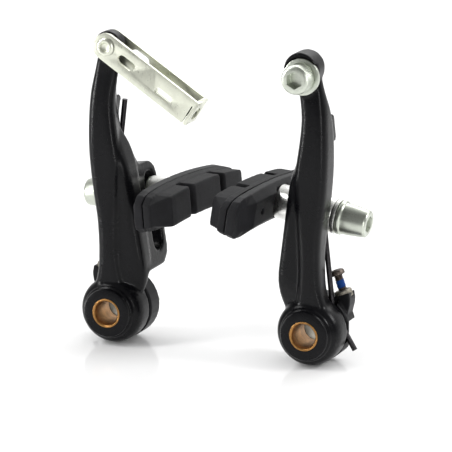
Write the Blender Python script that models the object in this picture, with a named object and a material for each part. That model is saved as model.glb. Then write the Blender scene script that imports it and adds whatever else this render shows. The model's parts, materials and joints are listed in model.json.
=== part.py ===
"""Mini V-brake for a bicycle: two brake arms with their shoes, springs, cable link and cable anchor.

Metres, +Z up. +X runs from the left arm to the right one, +Y runs rearwards to the bicycle's frame.
The origin is midway between the two pivot axes, on the plane in which both brakes seat on their bosses.
Each side is modelled once with +X pointing outwards from its own pivot, and the left one is mirrored.
"""

from math import asin, cos, hypot, pi, radians, sin, sqrt, tan

import bmesh
import bpy
from mathutils import Matrix, Vector

MM = 0.001
CLEAR = 0.3            # gap between touching pieces
OVERRUN = 1.0          # how far a cutter runs past the face that it opens
ROUND_STEPS = 20       # facets round a small turned piece
BARREL_STEPS = 32      # facets round the pivot barrel and the spring seat

# Where the two arms stand
PIVOT_SPACING = 70.5
REST_LEAN = 9.0        # degrees that each arm leans outwards

# Pivot barrel, bush and collar
BARREL_FACE_R = 8.2
BARREL_SHOULDER_R = 8.7
BARREL_R = 11.2
BARREL_LENGTH = 11.1
SEAT_HEIGHT = 7.3      # of the spring seat, behind the barrel
SHOULDER_DEPTH = 2.2
DOME_DEPTH = 6.5
BORE_R = 4.05
BUSH_WALL = 0.9
BUSH_PROUD = 0.15
COLLAR_R = 4.9
SEAT_DEPTH = BARREL_LENGTH + CLEAR + SEAT_HEIGHT      # from the barrel's front face back to the seat plane

# Stem of the arm: height, inner x, outer x, front y, back y
STEM_STATIONS = (
    (0.0, -5.0, 7.4, 4.4, 10.4),
    (6.0, -6.0, 6.6, 3.4, 10.8),
    (10.6, -6.0, 4.1, 2.6, 11.0),
    (15.0, -6.0, 2.2, 2.1, 11.0),
    (20.0, -6.4, 1.0, 1.7, 11.0),
    (26.0, -7.4, 0.0, 1.4, 11.0),
    (33.0, -8.8, -0.65, 1.2, 11.1),
    (41.0, -10.6, -0.8, 0.9, 11.2),
    (49.5, -12.6, -1.3, 0.6, 11.2),
    (56.0, -12.7, -1.95, 0.4, 11.1),
    (63.0, -12.8, -3.0, 0.5, 10.8),
    (70.0, -13.4, -4.4, 0.8, 10.0),
    (75.5, -14.9, -5.8, 1.3, 8.4),
    (80.0, -16.4, -7.6, 1.9, 6.8),
    (86.0, -18.0, -10.0, 2.1, 6.3),
)
STEM_CORNER_R = 2.6
STEM_BACK_TAPER = 1.2     # how much narrower the back is on the inner side
STEM_CORNER_STEPS = 3

# Slotted plate that carries the shoe, and the web that joins it to the stem
PLATE_INNER_X = -13.8
PLATE_THICKNESS = 7.0
PLATE_FRONT_Y = 9.0
PLATE_BACK_Y = 26.2
PLATE_BOTTOM_Z = 11.2
PLATE_TOP_Z = 46.8
PLATE_CORNER_R = 6.2
POST_Y = 19.6
POST_Z = 36.2
LEFT_SHOE_TILT = 4.4      # degrees that the left shoe is turned in its washers, inner end lower
SLOT_WIDTH = 7.0
SLOT_BOTTOM_Z = 16.5
SLOT_TOP_Z = 43.4
# height, inner x, front y on the stem, front y at the inner edge, back y
WEB_STATIONS = (
    (3.5, -9.8, 5.0, 8.0, 10.4),
    (7.5, -12.2, 4.4, 6.4, 10.6),
    (12.0, -13.6, 3.9, 5.0, 10.8),
    (17.0, -14.2, 3.6, 4.0, 13.0),
    (25.0, -14.3, 3.4, 3.5, 14.0),
    (33.0, -14.4, 3.0, 3.0, 14.0),
    (43.0, -14.4, 2.4, 2.2, 14.0),
    (49.0, -14.2, 2.0, 1.7, 13.4),
    (53.0, -13.5, 1.8, 1.6, 11.8),
    (56.5, -12.8, 2.0, 2.0, 10.8),
    (60.5, -11.6, 3.0, 3.4, 9.4),
)
WEB_CORNER_R = 2.6
WEB_PLATE_STEP_Y = 12.0
WEB_ROOT_INSET = 3.0
WEB_STEM_BACK_Y = 10.9

# Top of the left arm, where the cable link pivots
LINK_PIVOT_X = -14.6
LINK_PIVOT_Z = 88.8
LINK_EYE_R = 5.0
EYE_FRONT_Y = 1.8
EYE_THICKNESS = 5.0
RIVET_R = 1.9
RIVET_HEAD_R = 3.1
RIVET_HEAD_PROUD = 0.55

# Top of the right arm, where the cable is clamped
ANCHOR_X = -14.2
ANCHOR_Z = 84.6
ANCHOR_HEAD_R = 5.7
ANCHOR_HEAD_OFFSET = 0.7      # how far the head's middle is inwards of the bolt
ANCHOR_HEAD_TOP_Z = 92.4
ANCHOR_HEAD_FRONT_Y = -1.5
ANCHOR_HEAD_BACK_Y = 6.6
ANCHOR_FLOOR_Y = 0.3
ANCHOR_BOLT_R = 3.0
ANCHOR_WASHER_R = 6.0
ANCHOR_WASHER_THICKNESS = 1.2
ANCHOR_SOCKET_HEAD_R = 4.8
ANCHOR_SOCKET_HEAD_LENGTH = 5.8
HEX_KEY = 5.0
HEX_DEPTH = 3.2

# Cable link, a folded sheet bracket
LINK_ANGLE = 33.0      # degrees that it points below the level
LINK_WIDTH = 9.0
LINK_SHEET = 1.2
LINK_LENGTH = 36.6
LINK_SLOT_LENGTH = 7.0
LINK_SLOT_WIDTH = 3.2
LINK_SLOT_PLACES = (8.9, 23.6)
LINK_SLIT = 1.1
LINK_FOLD_HEIGHT = 2.2
NOODLE_HOLE_R = 2.3
NOODLE_HOLE_PLACE = -0.6

# Brake shoe
SHOE_STUD_R = 3.0
SHOE_LENGTH = 71.0
RIM_R = 311.0
SHOE_PITCH = -3.5      # degrees, rear end lower
SHOE_BACK_X = -21.4
BACKING_THICKNESS = 5.2
BACKING_RAISED = 2.2
BACKING_HEIGHT = 13.6
PAD_BASE_THICKNESS = 2.4
PAD_BLOCK_THICKNESS = 5.0
PAD_BLOCK_HEIGHT = 11.4
PAD_GROOVE = 3.6
STUD_HEAD_R = 5.0
STUD_HEAD_THICKNESS = 1.8
BACKING_RECESS_R = 7.2
BACKING_RECESS_DEPTH = 1.2

# Washers and nut of the shoe, along the stud
BALL_R = 6.5
BALL_WASHER_R = 5.2
BALL_HOLE_R = 3.8
BALL_RIM = 0.4
CUP_WASHER_R = 5.8
CUP_RIM_R = 5.2
CUP_HOLE_R = 3.3
OUTER_CUP_REACH = 7.9
POST_WASHER_THICKNESS = 1.2
POST_WASHER_R = 5.9
NUT_FLANGE_R = 5.7
NUT_FLANGE = 1.6
NUT_BASE_R = 5.2
NUT_END_R = 4.5
NUT_LENGTH = 10.0
NUT_THREAD_LENGTH = 6.2

# Spring seat, its lug, pin and tension screw
SEAT_R = 11.4
SEAT_WALL = 1.3
SEAT_FLOOR = 1.4
LUG_X = 7.7
LUG_Z = 11.3
LUG_R = 3.5
SEAT_FLAT_X = 8.9         # the cup is open below the lug, on its outer side
SEAT_FLAT_TOP_Z = 2.9
SCREW_AXIS_ANGLE = 70.0   # degrees below the level, outwards
SCREW_Y = SEAT_DEPTH - 2.4
SCREW_R = 1.5
SCREW_HEAD_R = 2.5
SCREW_HEAD = 1.8
SCREW_LENGTH = 7.8
SCREW_SHOWS = 6.3      # from the head down to the nut insert
SCREW_TRAVEL = 1.5
INSERT_R = 2.9
INSERT_LENGTH = 2.6
INSERT_PROUD = 1.2
CROSS_WIDTH = 0.7
CROSS_LENGTH = 3.0
CROSS_DEPTH = 0.8
LOCATING_PIN_R = 1.25
LOCATING_PIN_LENGTH = 5.0
LOCATING_PIN_OFFSET = 8.0

# Return spring
WIRE_R = 0.9
COIL_R = 6.2
LONG_LEG_Y = BARREL_LENGTH + CLEAR + WIRE_R
SHORT_LEG_Y = SEAT_DEPTH - SEAT_FLOOR - CLEAR - WIRE_R
LONG_LEG_ANGLE = 5.0      # degrees that it leans inwards
LONG_LEG_TOP_Z = 70.5
SHORT_LEG_ANGLE = 31.4    # degrees, where it leaves the coil
SHORT_LEG_LENGTH = 12.6
COIL_TURNS = int((SHORT_LEG_Y - LONG_LEG_Y) / (2 * WIRE_R))
COIL_STEP = 18.0          # degrees

# Tab on the stem's back, against which the long leg bears
TAB_Z = 66.5
TAB_HEIGHT = 8.5
TAB_WIDTH = 3.2
TAB_BACK_Y = 16.4
TAB_ROOT = 2.0

# Finishes: colour, roughness, metallic
FINISHES = {
    "black_paint": ((0.018, 0.018, 0.020, 1.0), 0.28, 0.0),
    "bronze": ((0.50, 0.31, 0.14, 1.0), 0.35, 1.0),
    "zinc_steel": ((0.62, 0.64, 0.58, 1.0), 0.32, 1.0),
    "bright_washer": ((0.80, 0.80, 0.78, 1.0), 0.30, 1.0),
    "link_steel": ((0.66, 0.67, 0.55, 1.0), 0.34, 1.0),
    "pad_rubber": ((0.045, 0.045, 0.048, 1.0), 0.75, 0.0),
    "backing_plastic": ((0.040, 0.040, 0.043, 1.0), 0.60, 0.0),
    "seat_plastic": ((0.020, 0.020, 0.022, 1.0), 0.50, 0.0),
    "spring_wire": ((0.030, 0.028, 0.028, 1.0), 0.40, 1.0),
    "screw_steel": ((0.20, 0.17, 0.15, 1.0), 0.45, 1.0),
}


def finish(name):
    """Return the material of that name, made on first use."""
    material = bpy.data.materials.get(name)
    if material is None:
        colour, roughness, metallic = FINISHES[name]
        material = bpy.data.materials.new(name)
        material.use_nodes = True
        shader = material.node_tree.nodes["Principled BSDF"]
        shader.inputs["Base Color"].default_value = colour
        shader.inputs["Roughness"].default_value = roughness
        shader.inputs["Metallic"].default_value = metallic
        material.diffuse_color = colour
    return material


def piece_from(mesh_edit, name, finish_name):
    """Turn a bmesh in millimetres into an object in metres."""
    bmesh.ops.remove_doubles(mesh_edit, verts=mesh_edit.verts, dist=1e-5)
    bmesh.ops.recalc_face_normals(mesh_edit, faces=mesh_edit.faces)
    bmesh.ops.scale(mesh_edit, vec=(MM, MM, MM), verts=mesh_edit.verts)
    mesh = bpy.data.meshes.new(name)
    mesh_edit.to_mesh(mesh)
    mesh_edit.free()
    mesh.materials.append(finish(finish_name))
    mesh.shade_smooth()
    mesh.set_sharp_from_angle(angle=radians(35))
    piece = bpy.data.objects.new(name, mesh)
    bpy.context.scene.collection.objects.link(piece)
    return piece


def tool_from(mesh_edit):
    """Turn a bmesh in millimetres into a body that is joined to or cut from a piece."""
    return piece_from(mesh_edit, "tool", "black_paint")


def combine(piece, tool, operation):
    """Join the tool to the piece or cut it away, and remove the tool."""
    modifier = piece.modifiers.new(operation.lower(), "BOOLEAN")
    modifier.operation = operation
    modifier.object = tool
    modifier.solver = "EXACT"
    graph = bpy.context.evaluated_depsgraph_get()
    graph.update()
    mesh = bpy.data.meshes.new_from_object(piece.evaluated_get(graph))
    piece.modifiers.clear()
    old = piece.data
    piece.data = mesh
    bpy.data.meshes.remove(old)
    tool_mesh = tool.data
    bpy.data.objects.remove(tool)
    bpy.data.meshes.remove(tool_mesh)
    mesh.shade_smooth()
    mesh.set_sharp_from_angle(angle=radians(35))


def cut(piece, tool):
    combine(piece, tool, "DIFFERENCE")


def join(piece, tool):
    combine(piece, tool, "UNION")


def loft(rings):
    """Skin a list of rings, each with as many points as the next, and close both ends."""
    edit = bmesh.new()
    rows = [[edit.verts.new(point) for point in ring] for ring in rings]
    for low, high in zip(rows, rows[1:]):
        for i in range(len(low)):
            j = (i + 1) % len(low)
            edit.faces.new((low[i], low[j], high[j], high[i]))
    edit.faces.new(list(reversed(rows[0])))
    edit.faces.new(rows[-1])
    return edit


def turned(profile, steps=ROUND_STEPS):
    """Turn a closed outline of (radius, y) about the Y axis. Radii of 0 close it on the axis."""
    edit = bmesh.new()
    points = [edit.verts.new((radius, y, 0.0)) for radius, y in profile]
    edges = [edit.edges.new((a, b)) for a, b in zip(points, points[1:] + points[:1])]
    bmesh.ops.spin(
        edit, geom=points + edges, cent=(0, 0, 0), axis=(0, 1, 0), angle=2 * pi, steps=steps, use_merge=True
    )
    bmesh.ops.dissolve_degenerate(edit, dist=1e-6, edges=edit.edges)
    bmesh.ops.remove_doubles(edit, verts=edit.verts, dist=1e-5)
    inner = [face for face in edit.faces if all(hypot(v.co.x, v.co.z) < 1e-4 for v in face.verts)]
    bmesh.ops.delete(edit, geom=inner, context="FACES")
    loose = [edge for edge in edit.edges if not edge.link_faces]
    bmesh.ops.delete(edit, geom=loose, context="EDGES")
    return edit


def turned_along_x(profile, steps=ROUND_STEPS):
    """Turn an outline of (radius, x) about the X axis."""
    edit = turned(profile, steps)
    bmesh.ops.rotate(edit, cent=(0, 0, 0), matrix=Matrix.Rotation(-pi / 2, 3, "Z"), verts=edit.verts)
    return edit


def arc(centre_a, centre_b, radius, start, end, steps):
    """Points of an arc in a plane, with angles in degrees."""
    angles = [radians(start + (end - start) * i / steps) for i in range(steps + 1)]
    return [(centre_a + radius * cos(t), centre_b + radius * sin(t)) for t in angles]


def prism(outline, plane, low, high):
    """Extrude an outline. In plane "xz" it grows along Y, in plane "yz" along X."""
    place = {"xz": lambda a, b, c: (a, c, b), "yz": lambda a, b, c: (c, a, b)}[plane]
    return loft([[place(a, b, depth) for a, b in outline] for depth in (low, high)])


def oblong(centre_a, low_b, high_b, radius, steps=12):
    """Outline of a slot that runs along its second axis."""
    top = arc(centre_a, high_b - radius, radius, 0, 180, steps)
    bottom = arc(centre_a, low_b + radius, radius, 180, 360, steps)
    return top + bottom


def circle(centre_a, centre_b, radius, steps=ROUND_STEPS):
    return arc(centre_a, centre_b, radius, 0, 360, steps)[:-1]


def hexagon(key):
    """Six corners of a hexagon that is key across its flats."""
    radius = key / sqrt(3)
    return arc(0, 0, radius, 0, 360, 6)[:-1]


def shifted(edit, x=0.0, y=0.0, z=0.0):
    bmesh.ops.translate(edit, vec=(x, y, z), verts=edit.verts)
    return edit


def block(low, high):
    """A box cutter between two corners."""
    edit = bmesh.new()
    bmesh.ops.create_cube(edit, size=1.0)
    size = [b - a for a, b in zip(low, high)]
    bmesh.ops.scale(edit, vec=size, verts=edit.verts)
    return shifted(edit, *[(a + b) / 2 for a, b in zip(low, high)])


def stem_ring(station):
    """A rounded section of the stem at one height."""
    height, inner, outer, front, back = station
    r = min(STEM_CORNER_R, (back - front) * 0.4)
    corners = ((outer - r, back - r, 0), (inner + r + STEM_BACK_TAPER, back - r, 90),
               (inner + r, front + r, 180), (outer - r, front + r, 270))
    return [(x, y, height) for a, b, turn in corners for x, y in arc(a, b, r, turn, turn + 90, STEM_CORNER_STEPS)]


def smooth_stations(stations, per_gap=2):
    """Put stations between the given ones on a smooth curve through them."""
    result = []
    for i in range(len(stations) - 1):
        before = stations[max(i - 1, 0)]
        start, end = stations[i], stations[i + 1]
        after = stations[min(i + 2, len(stations) - 1)]
        for k in range(per_gap):
            t = k / per_gap
            result.append(tuple(
                0.5 * (2 * b + (c - a) * t + (2 * a - 5 * b + 4 * c - d) * t * t
                       + (3 * b - a - 3 * c + d) * t ** 3)
                for a, b, c, d in zip(before, start, end, after)
            ))
    result.append(stations[-1])
    return result


def stem_x_at(height):
    """Inner and outer x of the stem at a height."""
    for low, high in zip(STEM_STATIONS, STEM_STATIONS[1:]):
        if low[0] <= height <= high[0]:
            share = (height - low[0]) / (high[0] - low[0])
            return tuple(low[k] + (high[k] - low[k]) * share for k in (1, 2))
    return STEM_STATIONS[-1][1:3]


def long_leg_x_at(height):
    """Where the spring's long leg runs, in the arm's own upright frame."""
    relative = radians(LONG_LEG_ANGLE + REST_LEAN)
    return COIL_R / cos(relative) - height * tan(relative)


def web_ring(station):
    """Section of the web: from the stem to the rounded inner edge, with a step back to the plate's face."""
    height, inner, front, inner_front, back = station
    stem_inner, stem_outer = stem_x_at(height)
    root = stem_outer - WEB_ROOT_INSET
    step = min(back - 0.2, WEB_PLATE_STEP_Y - 0.6)
    r = min(WEB_CORNER_R, (step - 0.6 - inner_front) * 0.8)
    crease = max(stem_inner + 0.8, inner + r + 0.8)
    plate_outer = min(inner + PLATE_THICKNESS, root - 0.5)
    if back > LONG_LEG_Y - WIRE_R - CLEAR:
        plate_outer = min(plate_outer, long_leg_x_at(height) - (WIRE_R + 2 * CLEAR))
    corner = arc(inner + r, inner_front + r, r, 270, 180, 3)
    return [
        (root, front + 1.2, height), (crease, front, height), *[(x, y, height) for x, y in corner],
        (inner, step - 0.6, height), (inner + 0.7, step, height), (inner + 0.9, back, height),
        (plate_outer, back, height), (plate_outer + 0.2, min(back - 0.3, WEB_STEM_BACK_Y), height),
        (root, min(back, WEB_STEM_BACK_Y) - 0.4, height),
    ]


def arm_barrel():
    """The round boss that turns on the bicycle's post, with a flat face and a domed shoulder."""
    dome_height = DOME_DEPTH - SHOULDER_DEPTH
    dome = []
    for i in range(1, 5):
        t = radians(90 * i / 5)
        dome.append((BARREL_SHOULDER_R + (BARREL_R - BARREL_SHOULDER_R) * sin(t),
                     SHOULDER_DEPTH + dome_height * (1 - cos(t))))
    return turned([
        (0, 0), (BARREL_FACE_R - 0.3, 0), (BARREL_FACE_R, 0.3), (BARREL_SHOULDER_R, 1.2),
        (BARREL_SHOULDER_R, SHOULDER_DEPTH), *dome, (BARREL_R, DOME_DEPTH),
        (BARREL_R, BARREL_LENGTH - 0.4), (BARREL_R - 0.4, BARREL_LENGTH), (0, BARREL_LENGTH),
    ], BARREL_STEPS)


def plate_outline():
    """The slotted plate from the side, with its rounded ear at the top and its round lower corner."""
    r = PLATE_CORNER_R
    lower = arc(PLATE_BACK_Y - r, PLATE_BOTTOM_Z + r, r, 270, 360, 6)
    upper = arc(PLATE_BACK_Y - r, PLATE_TOP_Z - r, r, 0, 90, 8)
    return [(PLATE_FRONT_Y, PLATE_BOTTOM_Z), *lower, *upper, (14.5, PLATE_TOP_Z + 0.2),
            (12.5, PLATE_TOP_Z + 1.6), (PLATE_FRONT_Y, PLATE_TOP_Z + 3.0)]


def spring_tab():
    """The block on the stem's back whose inner side lies along the spring's long leg."""
    relative = radians(LONG_LEG_ANGLE + REST_LEAN)
    face = long_leg_x_at(TAB_Z) + (WIRE_R + CLEAR) / cos(relative)
    half = TAB_HEIGHT / 2
    lean = half * tan(relative)
    rings = []
    for y, shrink in ((STEM_STATIONS[9][4] - TAB_ROOT, 0.0), (TAB_BACK_Y - 1.2, 0.0), (TAB_BACK_Y, 1.0)):
        rings.append([
            (face + lean, y, TAB_Z - half + shrink), (face + TAB_WIDTH + lean - shrink / 2, y, TAB_Z - half + shrink),
            (face + TAB_WIDTH - lean - shrink / 2, y, TAB_Z + half - shrink), (face - lean, y, TAB_Z + half - shrink),
        ])
    return loft(rings)


def make_arm(name, is_link_side):
    """One forged arm: barrel, stem, web, slotted plate, spring tab and the eye or anchor head on top."""
    arm = piece_from(arm_barrel(), name, "black_paint")
    join(arm, tool_from(loft([stem_ring(s) for s in smooth_stations(STEM_STATIONS)])))
    join(arm, tool_from(loft([web_ring(s) for s in smooth_stations(WEB_STATIONS)])))
    plate_outer = PLATE_INNER_X + PLATE_THICKNESS
    join(arm, tool_from(prism(plate_outline(), "yz", PLATE_INNER_X, plate_outer)))
    join(arm, tool_from(spring_tab()))
    if is_link_side:
        eye = circle(LINK_PIVOT_X, LINK_PIVOT_Z, LINK_EYE_R)
        join(arm, tool_from(prism(eye, "xz", EYE_FRONT_Y, EYE_FRONT_Y + EYE_THICKNESS)))
        hole = circle(LINK_PIVOT_X, LINK_PIVOT_Z, RIVET_R + CLEAR)
        cut(arm, tool_from(prism(hole, "xz", EYE_FRONT_Y - OVERRUN, EYE_FRONT_Y + EYE_THICKNESS + OVERRUN)))
    else:
        middle = ANCHOR_X - ANCHOR_HEAD_OFFSET
        crown = arc(middle, ANCHOR_HEAD_TOP_Z - ANCHOR_HEAD_R, ANCHOR_HEAD_R, -10, 190, 20)
        chin = arc(middle, ANCHOR_Z - 1.5, ANCHOR_HEAD_R - 0.6, 200, 340, 12)
        join(arm, tool_from(prism(crown + chin, "xz", ANCHOR_HEAD_FRONT_Y, ANCHOR_HEAD_BACK_Y)))
        pocket = circle(ANCHOR_X, ANCHOR_Z, ANCHOR_WASHER_R + CLEAR)
        floor = ANCHOR_FLOOR_Y
        cut(arm, tool_from(prism(pocket, "xz", ANCHOR_HEAD_FRONT_Y - OVERRUN, floor)))
        below = block((ANCHOR_X - 8, ANCHOR_HEAD_FRONT_Y - OVERRUN, ANCHOR_Z - 12),
                      (ANCHOR_X + 4.5, floor, ANCHOR_Z + 1.0))
        cut(arm, tool_from(below))
        hole = circle(ANCHOR_X, ANCHOR_Z, ANCHOR_BOLT_R + CLEAR)
        cut(arm, tool_from(prism(hole, "xz", ANCHOR_HEAD_FRONT_Y - OVERRUN, ANCHOR_HEAD_BACK_Y + OVERRUN)))
    slot = oblong(POST_Y, SLOT_BOTTOM_Z, SLOT_TOP_Z, SLOT_WIDTH / 2)
    cut(arm, tool_from(prism(slot, "yz", PLATE_INNER_X - OVERRUN, plate_outer + OVERRUN)))
    bore = circle(0, 0, BORE_R + BUSH_WALL + 0.05)
    cut(arm, tool_from(prism(bore, "xz", -OVERRUN, BARREL_LENGTH + OVERRUN)))
    return arm


def make_bush(name):
    """Bronze sleeve pressed in the barrel, with a narrow bright rim at the front."""
    outer = BORE_R + BUSH_WALL
    return piece_from(turned([
        (BORE_R, -BUSH_PROUD), (outer, -BUSH_PROUD), (outer, BARREL_LENGTH), (BORE_R, BARREL_LENGTH),
    ]), name, "bronze")


def make_collar(name):
    """Steel sleeve behind the bush, which the spring seat sits on and which rests on the boss."""
    front = BARREL_LENGTH + CLEAR
    return piece_from(turned([
        (BORE_R, front), (COLLAR_R, front), (COLLAR_R, SEAT_DEPTH), (BORE_R, SEAT_DEPTH),
    ]), name, "zinc_steel")


def screw_direction():
    """Unit vector down the tension screw, from its head."""
    angle = radians(SCREW_AXIS_ANGLE)
    return Vector((cos(angle), 0.0, -sin(angle)))


def along_screw(edit, start):
    """Turn a piece made along +X so that it lies down the screw's axis, from the given distance."""
    bmesh.ops.rotate(
        edit, cent=(0, 0, 0), matrix=Matrix.Rotation(radians(SCREW_AXIS_ANGLE), 3, "Y"), verts=edit.verts
    )
    place = Vector((LUG_X, SCREW_Y, LUG_Z)) + screw_direction() * start
    return shifted(edit, *place)


def strip(start, end, half_width):
    """Outline in XZ of a straight band between two points."""
    line = Vector((end.x - start.x, end.z - start.z)).normalized()
    side = Vector((-line.y, line.x)) * half_width
    return [(start.x + side.x, start.z + side.y), (start.x - side.x, start.z - side.y),
            (end.x - side.x, end.z - side.y), (end.x + side.x, end.z + side.y)]


def lug_outline():
    """The lug from the front: its top is square to the screw, and its outer side runs down to the cup."""
    across = Vector((sin(radians(SCREW_AXIS_ANGLE)), cos(radians(SCREW_AXIS_ANGLE)))) * LUG_R
    low, high = radians(22), radians(66)
    root_r = SEAT_R - 1.0
    return [
        (LUG_X - across.x, LUG_Z - across.y), (LUG_X + across.x - 0.4, LUG_Z + across.y - 0.2),
        (LUG_X + 3.3, LUG_Z - 1.2), (LUG_X + 3.2, LUG_Z - 3.2), (LUG_X + 2.4, LUG_Z - 6.5), (LUG_X + 1.8, LUG_Z - 8.6),
        ((root_r - 1.3) * cos(low), (root_r - 1.3) * sin(low)), (root_r * cos(high), root_r * sin(high)),
    ]


def make_seat(name):
    """Plastic cup round the spring, with the lug of the tension screw."""
    front = BARREL_LENGTH + CLEAR
    floor = SEAT_DEPTH - SEAT_FLOOR
    inside_r = SEAT_R - SEAT_WALL
    hole = COLLAR_R + 0.05
    seat = piece_from(turned([
        (inside_r, front), (SEAT_R - 0.3, front), (SEAT_R, front + 0.4), (SEAT_R, SEAT_DEPTH - 0.5),
        (SEAT_R - 0.5, SEAT_DEPTH), (hole, SEAT_DEPTH), (hole, floor), (inside_r, floor),
    ], BARREL_STEPS), name, "seat_plastic")
    join(seat, tool_from(prism(lug_outline(), "xz", SCREW_Y - LUG_R + 0.4, SEAT_DEPTH - 0.2)))
    cut(seat, tool_from(turned([(0, front - OVERRUN), (inside_r, front - OVERRUN), (inside_r, floor), (0, floor)],
                               BARREL_STEPS)))
    flat = block((SEAT_FLAT_X, front - OVERRUN, -SEAT_R), (SEAT_R + 4.0, SEAT_DEPTH + OVERRUN, SEAT_FLAT_TOP_Z))
    cut(seat, tool_from(flat))
    pocket = turned_along_x([
        (0, -OVERRUN), (INSERT_R + 0.05, -OVERRUN), (INSERT_R + 0.05, INSERT_LENGTH - INSERT_PROUD),
        (SCREW_R + 0.2, INSERT_LENGTH - INSERT_PROUD), (SCREW_R + 0.2, SCREW_LENGTH - SCREW_SHOWS + SCREW_TRAVEL + 0.3),
        (0, SCREW_LENGTH - SCREW_SHOWS + SCREW_TRAVEL + 0.3),
    ])
    cut(seat, tool_from(along_screw(pocket, 0.0)))
    notch = WIRE_R + 2 * CLEAR
    lean = radians(LONG_LEG_ANGLE)
    foot = Vector((COIL_R * cos(lean), 0.0, COIL_R * sin(lean)))
    above = foot + Vector((-sin(lean), 0.0, cos(lean))) * SEAT_R
    cut(seat, tool_from(prism(strip(foot, above, notch), "xz", front - OVERRUN, LONG_LEG_Y + notch)))
    outside = short_leg_end()
    cut(seat, tool_from(prism(strip(short_leg_start(), outside, notch), "xz", front - OVERRUN,
                              floor - 0.1)))
    cut(seat, tool_from(prism(circle(-LOCATING_PIN_OFFSET, 0, LOCATING_PIN_R + 0.05, 20), "xz", floor - 0.6,
                              SEAT_DEPTH + OVERRUN)))
    return seat


def make_locating_pin(name):
    """Steel pin that keeps the spring seat from turning on the boss."""
    start = SEAT_DEPTH - SEAT_FLOOR
    end = SEAT_DEPTH + LOCATING_PIN_LENGTH
    pin = turned([(0, start), (LOCATING_PIN_R, start), (LOCATING_PIN_R, end - 0.5),
                  (LOCATING_PIN_R - 0.4, end), (0, end)], 20)
    return piece_from(shifted(pin, x=-LOCATING_PIN_OFFSET), name, "zinc_steel")


def make_insert(name):
    """Metal nut insert that stands in the lug's top."""
    end = INSERT_LENGTH - INSERT_PROUD - 0.05
    edit = turned_along_x([(SCREW_R + 0.1, -INSERT_PROUD), (INSERT_R - 0.3, -INSERT_PROUD),
                           (INSERT_R, 0.3 - INSERT_PROUD), (INSERT_R, end), (SCREW_R + 0.1, end)])
    return piece_from(along_screw(edit, 0.0), name, "zinc_steel")


def make_tension_screw(name):
    """Cross-recess screw that sets the spring's tension."""
    edit = turned_along_x([
        (0, -SCREW_HEAD), (SCREW_HEAD_R - 0.6, -SCREW_HEAD), (SCREW_HEAD_R, -SCREW_HEAD + 0.7), (SCREW_HEAD_R, 0),
        (SCREW_R, 0), (SCREW_R, SCREW_LENGTH - 0.4), (SCREW_R - 0.4, SCREW_LENGTH), (0, SCREW_LENGTH),
    ], 24)
    screw = piece_from(along_screw(edit, -SCREW_SHOWS), name, "screw_steel")
    for turn in (0, 90):
        half = CROSS_LENGTH / 2
        arm = block((-SCREW_HEAD - OVERRUN, -half, -CROSS_WIDTH / 2),
                    (-SCREW_HEAD + CROSS_DEPTH, half, CROSS_WIDTH / 2))
        bmesh.ops.rotate(arm, cent=(0, 0, 0), matrix=Matrix.Rotation(radians(turn + 20), 3, "X"), verts=arm.verts)
        cut(screw, tool_from(along_screw(arm, -SCREW_SHOWS)))
    return screw


def short_leg_start():
    angle = radians(SHORT_LEG_ANGLE)
    return Vector((COIL_R * cos(angle), SHORT_LEG_Y, COIL_R * sin(angle)))


def short_leg_end():
    angle = radians(SHORT_LEG_ANGLE)
    return short_leg_start() + Vector((sin(angle), 0.0, -cos(angle))) * SHORT_LEG_LENGTH


def spring_points():
    """Centreline of the spring: long leg from its top, coil, short leg."""
    lean = radians(LONG_LEG_ANGLE)
    foot = Vector((COIL_R * cos(lean), LONG_LEG_Y, COIL_R * sin(lean)))
    rise = (LONG_LEG_TOP_Z - foot.z) / cos(lean)
    top = foot + Vector((-sin(lean), 0.0, cos(lean))) * rise
    points = [top, (top + foot) / 2, foot + (top - foot) * 0.1]
    start, end = LONG_LEG_ANGLE, SHORT_LEG_ANGLE - 360 * COIL_TURNS
    steps = round((start - end) / COIL_STEP)
    for i in range(steps + 1):
        share = i / steps
        angle = radians(start + (end - start) * share)
        y = LONG_LEG_Y + (SHORT_LEG_Y - LONG_LEG_Y) * share
        points.append(Vector((COIL_R * cos(angle), y, COIL_R * sin(angle))))
    points.append(short_leg_end())
    return points


def make_spring(name, side):
    """Black wire wound round the collar, as a bevelled curve."""
    curve = bpy.data.curves.new(name, "CURVE")
    curve.dimensions = "3D"
    curve.bevel_depth = WIRE_R * MM
    curve.bevel_resolution = 2
    curve.use_fill_caps = True
    points = spring_points()
    line = curve.splines.new("POLY")
    line.points.add(len(points) - 1)
    for place, point in zip(line.points, points):
        place.co = (side * point.x * MM, point.y * MM, point.z * MM, 1.0)
    curve.materials.append(finish("spring_wire"))
    spring = bpy.data.objects.new(name, curve)
    bpy.context.scene.collection.objects.link(spring)
    return spring


def shoe_ring(distance, x_points, height_share):
    """A section of the shoe at a distance along it, which follows the rim's curve and the shoe's pitch."""
    slope = radians(SHOE_PITCH)
    drop = distance * distance / (2 * RIM_R)
    y = POST_Y + distance * cos(slope) + drop * sin(slope)
    z = POST_Z + distance * sin(slope) - drop * cos(slope)
    return [(x, y, z + height * height_share) for x, height in x_points]


def even_stations(low, high, count):
    return [low + (high - low) * i / (count - 1) for i in range(count)]


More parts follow.
